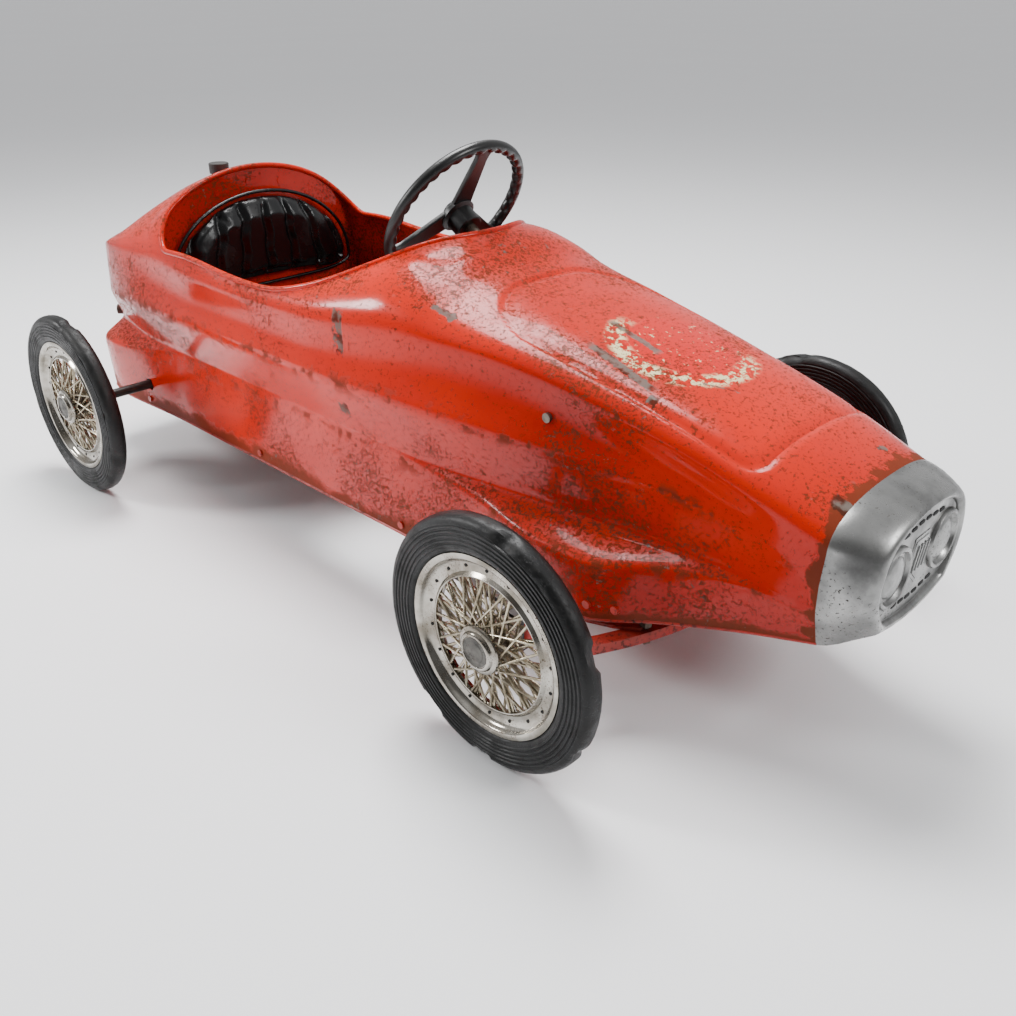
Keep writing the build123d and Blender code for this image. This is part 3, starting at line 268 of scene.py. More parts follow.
# ---------------------------------------------------------------- finishes
class Graph:
    """A material's node tree, built up by small calls."""

    def __init__(self, name: str) -> None:
        """Starts an empty tree."""
        self.material = bpy.data.materials.new(name)
        self.material.use_nodes = True
        self.tree = self.material.node_tree
        self.tree.nodes.clear()
        self.place = self.add("ShaderNodeTexCoord").outputs["Object"]

    def add(self, kind: str, links: dict | None = None, **settings: object) -> bpy.types.Node:
        """Adds a node with its settings, and sets or links its inputs."""
        node = self.tree.nodes.new(kind)
        for key, value in settings.items():
            setattr(node, key, value)
        for key, value in (links or {}).items():
            if isinstance(value, bpy.types.NodeSocket):
                self.tree.links.new(value, node.inputs[key])
            else:
                node.inputs[key].default_value = value
        return node

    def noise(self, scale: float, detail: float = 4, rough: float = 0.55) -> object:
        """Noise value, with its scale in features per metre."""
        links = {"Vector": self.place, "Scale": scale, "Detail": detail, "Roughness": rough}
        return self.add("ShaderNodeTexNoise", links).outputs[0]

    def step(self, value: object, low: float, high: float) -> object:
        """Smooth step of a value."""
        links = {0: value, 1: low, 2: high}
        return self.add("ShaderNodeMapRange", links, interpolation_type="SMOOTHSTEP").outputs[0]

    def math(self, operation: str, first: object, second: object = 0.0) -> object:
        """One arithmetic step."""
        return self.add("ShaderNodeMath", {0: first, 1: second}, operation=operation).outputs[0]

    def product(self, *factors: object) -> object:
        """All factors multiplied, from the left."""
        total = factors[0]
        for factor in factors[1:]:
            total = self.math("MULTIPLY", total, factor)
        return total

    def plus(self, first: object, second: object) -> object:
        """First and second added."""
        return self.math("ADD", first, second)

    def less(self, first: object, second: object) -> object:
        """First minus second."""
        return self.math("SUBTRACT", first, second)

    def most(self, first: object, *others: object) -> object:
        """Largest of some values."""
        for other in others:
            first = self.math("MAXIMUM", first, other)
        return first

    def distance(self, x: object, y: object, at_x: float, at_y: float) -> tuple:
        """Steps along x and y from a point, and how far that is."""
        dx, dy = self.less(x, at_x), self.less(y, at_y)
        squares = self.plus(self.math("POWER", dx, 2.0), self.math("POWER", dy, 2.0))
        return dx, dy, self.math("SQRT", squares)

    def mix(self, factor: object, first: object, second: object) -> object:
        """Colour between two colours."""
        links = {0: factor, 6: first, 7: second}
        return self.add("ShaderNodeMix", links, data_type="RGBA").outputs[2]

    def level(self, factor: object, first: object, second: object) -> object:
        """Number between two numbers."""
        return self.add("ShaderNodeMix", {0: factor, 2: first, 3: second}, data_type="FLOAT").outputs[0]

    def attribute(self, name: str) -> object:
        """A float attribute stored on the mesh."""
        return self.add("ShaderNodeAttribute", attribute_name=name).outputs["Fac"]

    def parts(self, vector: object) -> tuple:
        """X, Y and Z of a vector."""
        return tuple(self.add("ShaderNodeSeparateXYZ", {0: vector}).outputs)

    def normal(self) -> tuple:
        """X, Y and Z of the surface's true direction."""
        return self.parts(self.add("ShaderNodeNewGeometry").outputs["Normal"])

    def finish(self, base: object, rough: object, height: object = None, depth: float = 0.0002,
               **constants: object) -> bpy.types.Material:
        """Closes the tree with one shader.

        Args:
            base: Colour.
            rough: Roughness.
            height: Height of the fine relief, 0 to 1.
            depth: Size of the relief in metres.
            constants: Other shader inputs by name, with _ for a space.

        Returns:
            The material.
        """
        links = {"Base Color": base, "Roughness": rough}
        if height is not None:
            bump = self.add("ShaderNodeBump", {"Strength": 0.8, "Distance": depth, "Height": height})
            links["Normal"] = bump.outputs[0]
        links.update({key.replace("_", " "): value for key, value in constants.items()})
        shader = self.add("ShaderNodeBsdfPrincipled", links)
        self.add("ShaderNodeOutputMaterial", {"Surface": shader.outputs[0]})
        return self.material


@dataclass(frozen=True)
class Finish:
    """A plain finish: a base, a second tone in patches, and specks of dirt or rust."""

    name: str
    base: str
    second: str
    rough: tuple
    metal: float = 0.0
    patch_scale: float = 18.0
    speck: str = "2A1A12"
    speck_scale: float = 240.0
    specks: float = 0.0
    grain: float = 0.00008

    def build(self) -> bpy.types.Material:
        """Makes the material."""
        g = Graph(self.name)
        patch = g.step(g.noise(self.patch_scale, 6, 0.6), 0.35, 0.68)
        tint = g.mix(patch, colour(self.base), colour(self.second))
        rough = g.level(patch, *self.rough)
        fine = g.noise(self.speck_scale, 4, 0.6)
        if self.specks:
            area = g.step(g.noise(self.patch_scale * 0.8, 3), 0.38, 0.66)
            lower = 0.12 * self.specks
            spots = g.product(g.step(fine, 0.62 - lower, 0.70 - lower), area)
            tint = g.mix(spots, tint, colour(self.speck))
            rough = g.level(spots, rough, 0.85)
        return g.finish(tint, rough, fine, self.grain, Metallic=self.metal)


# name, base, second tone, roughness, metal, patches per metre, specks, their scale and amount, grain
SATIN_CAST = Finish("cast_aluminium_satin", "9B9B99", "6A6A69", (0.26, 0.42),
                    0.95, 22, "3A3631", 420, 0.25, 0.00006)
# painted shade: flat near-black for the nose cap's slots and the rim holes
PAINTED_SHADE = Finish("painted_shade_black", "0B0B0B", "15120F", (0.8, 0.95))
CHROME = Finish("bright_plate_dulled", "B0ACA3", "7A7469", (0.06, 0.20),
                1.0, 34, "4A3320", 700, 0.5, 0.00003)
WIRE = Finish("nickel_wire_dulled", "B9B09B", "7E735F", (0.24, 0.42),
              1.0, 60, "4F3A22", 500, 0.5, 0.00004)
BARE_STEEL = Finish("bare_steel_greasy", "7C746B", "4A3D33", (0.38, 0.62),
                    0.9, 40, "3B2013", 380, 0.7, 0.0001)
BLACK_ENAMEL = Finish("black_enamel_worn", "141312", "2A221C", (0.32, 0.6),
                      0.0, 26, "4A2A18", 300, 0.7, 0.0001)
RED_CHASSIS = Finish("red_paint_on_chassis", "B5200F", "8E2416", (0.28, 0.5),
                     0.0, 20, "3A1C12", 220, 0.9, 0.0001)
BLACK_RUBBER = Finish("pedal_rubber", "161616", "2A2826", (0.7, 0.85),
                      0.0, 30, "3A342E", 260, 0.4, 0.0003)
BLACK_MOULDED = Finish("black_moulded_gloss", "060606", "0F0F0F", (0.3, 0.45),
                       0.0, 20, "34302C", 600, 0.2, 0.00002)
BROWN_STAIN = Finish("brown_button", "4A2A1C", "2C1A14", (0.5, 0.7), 0.0, 60, "1A1210", 300, 0.5)
DULL_PLASTIC = Finish("dull_black_plastic", "1B1A19", "2C2A27", (0.5, 0.7),
                      0.0, 60, "4A463F", 500, 0.4)
BRONZE = Finish("plain_bearing_brass", "A8793B", "6E4E26", (0.35, 0.5), 1.0, 60, "2C1D10", 300, 0.4)
CAP_DISC = Finish("hub_cap_disc_grey", "5A5853", "3C3A37", (0.42, 0.6),
                  0.7, 80, "2A211A", 600, 0.6, 0.00006)


@dataclass(frozen=True)
class BodyPaint:
    """Old red gloss on pressed steel: chalky on top, pitted, chipped and rusty along its edges."""

    name: str = "red_body_paint_worn"
    gloss: str = "D01E00"
    deep: str = "9C0E00"
    chalk: str = "BC2406"
    disc: str = "CC1009"
    rust: str = "3E2014"
    light_rust: str = "6B3A22"
    primer: str = "69635C"
    cream: str = "E8D8A4"
    blue: str = "2C6C8C"
    roundel: tuple = (0.316, 0.002, 0.060)  # x, y and radius of the painted ring
    blue_spot: tuple = (0.500, 0.005, 0.010)  # x, y and radius
    # x and y in metres, then angle in degrees, half-length and half-width in mm
    scratches: tuple = (
        (0.305, -0.072, -7, 42, 4.6), (0.282, -0.024, -8, 34, 4.0), (0.350, -0.085, 0, 5, 4.0),
        (0.380, -0.030, 30, 16, 1.0), (0.516, -0.0635, 0, 9, 7.0), (0.130, -0.118, 8, 13, 2.6),
        (0.011, -0.152, 0, 8, 2.2), (0.1425, -0.1175, 60, 5, 3.4), (0.500, 0.030, 70, 6, 2.5),
    )

    def build(self) -> bpy.types.Material:
        """Makes the material, layer over layer."""
        g = Graph(self.name)
        x, y, _ = g.parts(g.place)
        top = g.step(g.normal()[2], 0.2, 0.85)
        broad = g.noise(5.5, 5, 0.6)
        middle = g.noise(26, 6, 0.62)
        fine = g.noise(360, 5, 0.65)
        # chalky oxidation, thickest on what faces the sky
        chalk = g.product(top, g.step(broad, 0.30, 0.62), g.step(middle, 0.22, 0.72))
        tint = g.mix(g.step(g.noise(3.0, 3), 0.35, 0.75), colour(self.gloss), colour(self.deep))
        tint = g.mix(g.product(chalk, 0.72), tint, colour(self.chalk))
        tint = self.number_disc(g, tint, x, y, top)
        spread = g.plus(g.step(broad, 0.40, 0.62), g.product(top, 0.34))
        rusty = g.most(self.pits(g, spread, middle, fine), *self.rusty_edges(g, middle))
        chips = g.product(g.step(g.noise(105, 6, 0.74), 0.62, 0.635), g.step(spread, 0.2, 1.0))
        bare = g.most(self.scratch_mask(g, x, y), chips)
        rust = g.mix(middle, colour(self.rust), colour(self.light_rust))
        metal = g.mix(g.step(g.noise(80, 4), 0.42, 0.6), colour(self.primer), colour(self.rust))
        tint = g.mix(g.product(rusty, 0.85), tint, rust)
        tint = g.mix(g.product(bare, 0.9), tint, metal)
        blue = g.product(g.step(g.noise(30, 2), 0.50, 0.6), self.spot(g, x, y))
        tint = g.mix(blue, tint, colour(self.blue))
        worn = g.most(rusty, bare)
        rough = g.level(chalk, g.level(middle, 0.11, 0.24), 0.42)
        rough = g.level(worn, rough, 0.78)
        height = g.less(g.product(fine, 0.10), g.product(worn, 0.5))
        shine = g.level(g.most(chalk, worn), 0.24, 0.06)
        return g.finish(tint, rough, height, 0.0003, Coat_Weight=0.10, Coat_Roughness=0.05,
                        Specular_IOR_Level=shine)

    def number_disc(self, g: Graph, tint: object, x: object, y: object, top: object) -> object:
        """Paint with the flaking remains of a number disc on the bonnet.

        Args:
            g: Node tree.
            tint: Colour of the paint under it.
            x: Place along the car.
            y: Place across the car.
            top: How far the surface faces up.

        Returns:
            The new colour.
        """
        at_x, at_y, size = self.roundel
        from_x, from_y, radius = g.distance(x, y, at_x, at_y)
        off_ring = g.math("ABSOLUTE", g.less(radius, size))
        ring = g.less(1.0, g.step(off_ring, 0.004, 0.013))
        disc = g.product(g.less(1.0, g.step(radius, 0.050, 0.058)), top)
        tint = g.mix(g.product(disc, 0.8), tint, colour(self.disc))
        flakes = g.step(g.noise(110, 5, 0.7), 0.49, 0.53)
        kept = g.step(g.less(from_y, g.product(from_x, 0.5)), 0.035, 0.0)
        cream = g.product(ring, flakes, top, kept)
        inner = g.product(disc, g.step(g.noise(150, 5, 0.7), 0.62, 0.65), 0.8)
        return g.mix(g.most(cream, inner), tint, colour(self.cream))

    @staticmethod
    def pits(g: Graph, spread: object, middle: object, fine: object) -> object:
        """Small rust pits, denser where the paint has suffered."""
        attacked = g.step(g.product(spread, middle), 0.02, 0.46)
        crumbs = g.most(fine, g.less(g.noise(190, 6, 0.72), 0.01))
        return g.step(g.plus(crumbs, g.product(attacked, 0.075)), 0.615, 0.635)

    @staticmethod
    def rusty_edges(g: Graph, middle: object) -> tuple:
        """Rust on the creases, along the hem and where the nose cap meets the body."""
        crease = g.product(g.attribute("crease"), g.step(g.noise(48, 5, 0.7), 0.50, 0.60))
        ragged = g.plus(g.attribute("hem"), g.less(middle, 0.5))
        hem = g.product(g.step(ragged, 0.62, 0.86), 0.92)
        torn = g.product(g.less(g.noise(70, 4, 0.6), 0.5), 1.5)
        joint = g.step(g.plus(g.attribute("joint"), torn), 0.62, 0.78)
        return crease, hem, joint

    def scratch_mask(self, g: Graph, x: object, y: object) -> object:
        """Long bare marks with wandering sides."""
        wander = g.product(g.less(g.noise(190, 5, 0.7), 0.5), 0.010)
        total = 0.0
        for at_x, at_y, angle, half_long, half_wide in self.scratches:
            c, s = math.cos(math.radians(angle)), math.sin(math.radians(angle))
            dx, dy = g.less(x, at_x), g.less(y, at_y)
            along = g.plus(g.product(dx, c), g.product(dy, s))
            across = g.plus(g.less(g.product(dy, c), g.product(dx, s)), wander)
            far_along = g.math("ABSOLUTE", g.math("DIVIDE", along, half_long * MM))
            far_across = g.math("ABSOLUTE", g.math("DIVIDE", across, half_wide * MM))
            mark = g.less(1.0, g.step(g.most(far_along, far_across), 0.8, 1.05))
            total = g.most(total, mark)
        return total

    def spot(self, g: Graph, x: object, y: object) -> object:
        """A soft round spot seen from above."""
        at_x, at_y, radius = self.blue_spot
        far = g.distance(x, y, at_x, at_y)[2]
        return g.less(1.0, g.step(far, radius * 0.7, radius))


@dataclass(frozen=True)
class TyreRubber:
    """Solid black rubber, dusty and cracked on the tread."""

    name: str = "solid_tyre_rubber"

    def build(self) -> bpy.types.Material:
        """Makes the material."""
        g = Graph(self.name)
        dust = g.step(g.noise(45, 6, 0.65), 0.45, 0.75)
        crack = g.step(g.noise(320, 3, 0.7), 0.36, 0.44)
        tint = g.mix(dust, colour("070707"), colour("171614"))
        # the sunk cracks are painted a darker black: painted shade in them
        tint = g.mix(g.less(1.0, crack), tint, colour("050505"))
        height = g.plus(g.product(g.noise(140, 6, 0.7), 0.7), g.product(crack, 0.3))
        return g.finish(tint, g.level(dust, 0.42, 0.75), height, 0.0006, Specular_IOR_Level=0.3)


@dataclass(frozen=True)
class CoatedCloth:
    """Glossy black coated cloth with a fine leathery grain."""

    name: str = "black_coated_cloth"

    def build(self) -> bpy.types.Material:
        """Makes the material."""
        g = Graph(self.name)
        cells = g.add("ShaderNodeTexVoronoi", {"Vector": g.place, "Scale": 900.0}).outputs[0]
        dust = g.step(g.noise(24, 5, 0.6), 0.5, 0.8)
        tint = g.mix(dust, colour("08090A"), colour("1C1B1A"))
        return g.finish(tint, g.level(dust, 0.24, 0.45), cells, 0.00015)


# ---------------------------------------------------------------- body
@dataclass
class Body:
    """Pressed-steel shell with its cockpit edge and hem."""

    length: float = 1084.0
    back: float = -562.0
    sheet: float = 1.5
    cockpit_back: float = -360.0
    cockpit_front: float = 76.0
    cockpit_turn: float = -130.0
    cockpit_half: float = 150.0
    groove_depth: float = 2.4
    groove_width: float = 3.4
    bonnet: tuple = (153.0, 456.0)  # rear and front of the pressed panel line
    groove_ends: tuple = ((138, 172), (446, 466))  # where it runs across the car
    waist_hollow: float = 4.5  # how far the band under the shoulder sinks in
    tail_radius: float = 10.0
    tail_half: float = 115.0  # mean half size of the tail's end face
    axle_hole: tuple = ((-427.0, 115.0), 0.0, 9.0)  # middle, half-length, radius
    tie_rod_slot: tuple = ((243.5, 134.0), 5.0, 6.0)
    across_top: int = 34  # spans from the ridge to one shoulder
    down_side: tuple = (13, 11, 8, 13)  # spans of each band under the shoulder
    ridge: tuple = (
        (0, 284), (32, 296), (62, 316), (112, 355), (162, 377), (202, 386), (262, 372), (412, 340),
        (512, 350), (572, 363), (622, 371), (657, 362), (692, 344), (732, 332), (772, 324),
        (832, 312), (889, 300), (952, 286), (1018, 267), (1084, 243),
    )
    lines: tuple = (
        ((0, 104, 262), (22, 128, 280), (62, 140, 288), (112, 146, 290), (202, 152, 288),
         (312, 158, 284), (512, 158, 284), (592, 152, 288), (662, 142, 294), (732, 130, 293),
         (812, 117, 283), (892, 108, 267), (952, 102, 252), (1018, 97, 232), (1084, 90, 208)),
        ((0, 108, 212), (22, 132, 218), (62, 146, 223), (162, 161, 229), (312, 166, 233),
         (512, 166, 234), (662, 156, 232), (782, 137, 228), (917, 110, 222), (1017, 98, 206),
         (1084, 94, 182)),
        ((0, 98, 176), (22, 120, 178), (62, 130, 180), (162, 142, 178), (312, 144, 178),
         (512, 144, 176), (662, 138, 172), (782, 122, 170), (892, 107, 167), (992, 97, 166),
         (1084, 93, 160)),
        ((0, 130, 158), (22, 154, 158), (62, 160, 160), (112, 157, 162), (212, 145, 171),
         (312, 144, 172), (512, 144, 170), (662, 140, 166), (742, 139, 160), (842, 150, 150),
         (892, 149, 150), (962, 119, 156), (1022, 101, 158), (1084, 91, 150)),
        ((0, 126, 86), (22, 150, 84), (62, 156, 82), (212, 150, 82), (512, 150, 82), (712, 150, 82),
         (812, 151, 84), (892, 147, 90), (962, 117, 101), (1032, 92, 112), (1084, 82, 122)),
    )
    fullness: tuple = ((0, 2.6), (62, 1.9), (112, 1.75), (162, 1.85), (202, 2.0), (612, 2.1), (812, 2.3),
                       (1084, 2.4))
    sections: dict = field(default_factory=dict)

    def line_at(self, line: tuple, station: float) -> list:
        """Values of a body line at a station, on a monotone curve through its points."""
        station = min(max(station, line[0][0]), line[-1][0])
        span = max(at for at in range(len(line) - 1) if line[at][0] <= station)
        step = line[span + 1][0] - line[span][0]
        t = (station - line[span][0]) / step
        found = []
        for axis in range(1, len(line[0])):
            slope = [(b[axis] - a[axis]) / (b[0] - a[0]) for a, b in zip(line, line[1:])]
            slopes = []
            for at in (span, span + 1):
                if at in (0, len(slope)):
                    slopes.append(slope[min(at, len(slope) - 1)])
                else:
                    before, after = slope[at - 1], slope[at]
                    slopes.append(0.0 if before * after <= 0 else 2 * before * after / (before + after))
            here, there = line[span][axis], line[span + 1][axis]
            place = (2 * t**3 - 3 * t**2 + 1) * here + (3 * t**2 - 2 * t**3) * there
            found.append(place + step * ((t**3 - 2 * t**2 + t) * slopes[0] + (t**3 - t**2) * slopes[1]))
        return found

    def section(self, x: float) -> list:
        """Points (y, z) in mm down the left half of the body at x, from the ridge to the hem."""
        key = round(x, 3)
        if key in self.sections:
            return self.sections[key]
        station = x - self.back
        (ridge,) = self.line_at(self.ridge, station)
        (full,) = self.line_at(self.fullness, station)
        marks = [self.line_at(line, station) for line in self.lines]
        half, height = marks[0]
        points = []
        for at in range(self.across_top + 1):
            turn = at / self.across_top * math.pi / 2
            points.append([half * math.sin(turn) ** (2 / full),
                           height + (ridge - height) * math.cos(turn) ** (2 / full)])
        hollow = self.waist_hollow * smooth(station, 60, 260) * (1 - smooth(station, 940, 1060))
        for band, spans in enumerate(self.down_side):
            (y0, z0), (y1, z1) = marks[band], marks[band + 1]
            for at in range(1, spans + 1):
                t = at / spans
                inward = hollow * 4 * t * (1 - t) if band == 0 else 0.0
                points.append([y0 + (y1 - y0) * t - inward, z0 + (z1 - z0) * t])
        for _ in range(2):
            kept = [list(p) for p in points]
            for at in range(2, len(points) - 1):
                for axis in (0, 1):
                    points[at][axis] = kept[at][axis] / 2 + (kept[at - 1][axis] + kept[at + 1][axis]) / 4
        self.sections[key] = points
        return points

    def top_height(self, x: float, y: float) -> float:
        """Height in mm of the top of the body at x and y."""
        points = self.section(x)
        y = abs(y)
        for (y0, z0), (y1, z1) in zip(points, points[1:self.across_top + 6]):
            if y0 <= y <= y1:
                return z0 + (z1 - z0) * (y - y0) / max(y1 - y0, 1e-6)
        return points[self.across_top][1]

    def groove_at(self, x: float, y: float) -> float:
        """Depth in mm of the pressed panel line on the bonnet."""
        rear, front = self.bonnet
        half = 86.5 + (front - x) * 13.5 / (front - rear)
        corner = 18 + 52 * smooth(front - x, 120, 220)
        dx = abs(x - (rear + front) / 2) - (front - rear) / 2 + corner
        dy = abs(y) - half + corner
        outside = math.hypot(max(dx, 0), max(dy, 0)) + min(max(dx, dy), 0) - corner
        return self.groove_depth * math.exp(-(outside / self.groove_width) ** 2)

    def outline(self) -> list:
        """Cockpit edge as (x, y) points in mm, anticlockwise from the front."""
        front = []
        for at in range(97):
            turn = -math.pi / 2 + math.pi * at / 96
            front.append((self.cockpit_turn + (self.cockpit_front - self.cockpit_turn) * math.cos(turn),
                          self.cockpit_half * math.sin(turn)))
        corner = 34.0
        mid = (self.cockpit_back + corner, self.cockpit_half - corner)
        straight = [(self.cockpit_turn - at * 8, self.cockpit_half) for at in range(1, 25)]
        side = [p for p in straight if p[0] > mid[0] + 2]
        for at in range(13):
            turn = math.pi / 2 + math.pi / 2 * at / 12
            side.append((mid[0] + corner * math.cos(turn), mid[1] + corner * math.sin(turn)))
        rear = [(self.cockpit_back, mid[1] - 6 * at) for at in range(1, round(2 * mid[1] / 6))]
        return front + side + rear + [(px, -py) for px, py in side[::-1]]

    def build(self, paint: bpy.types.Material, dark: bpy.types.Material) -> None:
        """Makes the shell and its rolled edges."""
        around = len(self.section(0.0))
        width = 2 * around - 1
        verts, wear = [], []
        places = self.stations()
        for x in places:
            for at, (y, z) in enumerate(self.tucked(x)):
                index = abs(at - around + 1)
                if 120 < x < 500 and index <= self.across_top:
                    z -= self.groove_at(x, y)
                verts.append(Vector((x, y, z)) * MM)
                wear.append(self.wear_at(x, index, around))
        faces = bands(len(places), width, closed=False)
        # the tail is closed by rings that shrink to its middle
        points = self.section(self.back)
        middle = (points[-1][1] + points[0][1]) / 2
        last = list(range(width))
        for scale in (0.85, 0.45, 0.0):
            ring = []
            for y, z in both_sides(points):
                ring.append(len(verts))
                verts.append(Vector((self.back, y * scale, middle + (z - middle) * scale)) * MM)
                wear.append((0.0, 0.0, 0.0))
            for b in range(width - 1):
                faces.append((ring[b], ring[b + 1], last[b + 1], last[b]))
            faces.append((ring[-1], ring[0], last[0], last[-1]))
            last = ring
        self.shell(verts, faces, wear, paint)
        self.edges(paint, dark)

    def tucked(self, x: float) -> list:
        """Whole section (y, z) in mm at x, from hem to hem, drawn in where the tail rounds off."""
        points = self.section(x)
        depth = max(0.0, 1 - (x - self.back) / self.tail_radius)
        tuck = 1 - self.tail_radius * (1 - math.sqrt(1 - depth * depth)) / self.tail_half
        heart = (points[-1][1] + points[0][1]) / 2
        return [(y * tuck, heart + (z - heart) * tuck) for y, z in both_sides(points)]

    def stations(self) -> list:
        """Places in mm of the rings along the body, closer where the shape turns quickly."""
        places, x = [self.back], self.back
        while x < self.back + self.length - 1:
            close = x < self.back + 40 or any(low < x < high for low, high in self.groove_ends)
            x += 1.25 if x < self.back + self.tail_radius else 3.0 if close else 7.0
            places.append(min(x, self.back + self.length))
        return places

    def wear_at(self, x: float, index: int, around: int) -> tuple:
        """How near a point is to the hem, to a crease and to the nose cap, each 0 to 1."""
        from_hem = (around - 1 - index) / self.down_side[3]
        upper = self.across_top + self.down_side[0]
        lower = upper + self.down_side[1] + self.down_side[2]
        near = min(abs(index - crease) for crease in (upper, lower))
        return (max(0.0, 1 - from_hem * 1.6), max(0.0, 1 - near / 3.0),
                max(0.0, 1 - (self.back + self.length - x) / 26.0))

    def shell(self, verts: list, faces: list, wear: list, paint: bpy.types.Material) -> None:
        """Makes the skin, opens it and gives it its sheet thickness."""
        obj = new_object("body_skin", verts, faces)
        mesh = obj.data
        for number, name in enumerate(("hem", "crease", "joint")):
            layer = mesh.attributes.new(name, "FLOAT", "POINT")
            layer.data.foreach_set("value", [w[number] for w in wear])
        mesh.materials.append(paint)
        skin = bmesh.new()
        skin.from_mesh(mesh)
        bmesh.ops.remove_doubles(skin, verts=skin.verts, dist=1e-6)
        bmesh.ops.recalc_face_normals(skin, faces=skin.faces)
        self.open_hole(skin, self.outline(), (0, 1), lambda v: v.z > 0.256)
        for hole in (self.axle_hole, self.tie_rod_slot):
            self.open_hole(skin, stadium(*hole, 24), (0, 2), lambda v: abs(v.y) > 0.09)
        tops = [face for face in skin.faces if face.calc_center_median().z > 0.3]
        if sum(face.calc_area() * face.normal.z for face in tops) < 0:
            bmesh.ops.reverse_faces(skin, faces=skin.faces)
        skin.to_mesh(mesh)
        skin.free()
        apply_modifier(obj, "SOLIDIFY", thickness=self.sheet * MM, offset=-1.0)
        settle(obj, FRAME_BODY, ("body_shell",))

    @staticmethod
    def open_hole(skin: bmesh.types.BMesh, outline: list, axes: tuple, wanted: object) -> None:
        """Deletes what lies inside an outline and draws the cut edge onto it.

        Args:
            skin: Mesh to cut.
            outline: Points in mm on the two axes.
            axes: The two axes.
            wanted: Test of which points may be cut.
        """
        first, second = axes
        third = 3 - first - second
        ring = [(a * MM, b * MM) for a, b in outline]
        low = [min(p[i] for p in ring) - 0.01 for i in (0, 1)]
        high = [max(p[i] for p in ring) + 0.01 for i in (0, 1)]
        state = {}
        for vert in skin.verts:
            a, b = vert.co[first], vert.co[second]
            if low[0] < a < high[0] and low[1] < b < high[1] and wanted(vert.co):
                state[vert] = inside(ring, a, b)
        gone = {f for f in skin.faces if all(state.get(v, False) for v in f.verts)}
        rim = {v for f in skin.faces if f not in gone for v in f.verts if state.get(v, False)}
        bmesh.ops.delete(skin, geom=list(gone), context="FACES")
        places = {}
        for vert in rim:
            a, b = nearest(ring, vert.co[first], vert.co[second])
            normal = vert.normal
            other = vert.co[third]
            if abs(normal[third]) > 0.2:
                shift = normal[first] * (a - vert.co[first]) + normal[second] * (b - vert.co[second])
                other -= shift / normal[third]
            places[vert] = (a, b, other)
        for vert, place in places.items():
            vert.co[first], vert.co[second], vert.co[third] = place

    def edges(self, paint: bpy.types.Material, dark: bpy.types.Material) -> None:
        """Makes the rolled cockpit edge and the folded hem."""
        rim = [Vector((x, y, self.top_height(x, y) - 0.6)) * MM for x, y in self.outline()]
        for _ in range(2):
            rim = [(rim[at - 1] + rim[at] * 2 + rim[(at + 1) % len(rim)]) / 4 for at in range(len(rim))]
        make_piece("cockpit_rolled_edge", *tube(rim, 3.4 * MM, 12, True), paint, FRAME_BODY, "red_paint",
                   edge=Edge.SOFT)
        strips = []
        for side in (-1, 1):
            path = []
            for x in self.stations()[::2]:
                y, z = self.tucked(x)[-1]
                path.append(Vector((x, side * (y - 1.0), z + 0.8)) * MM)
            strips.append(tube(path, 1.9 * MM, 8))
        make_piece("hem_fold", *merge(strips), dark, FRAME_BODY, "red_paint", edge=Edge.SOFT)


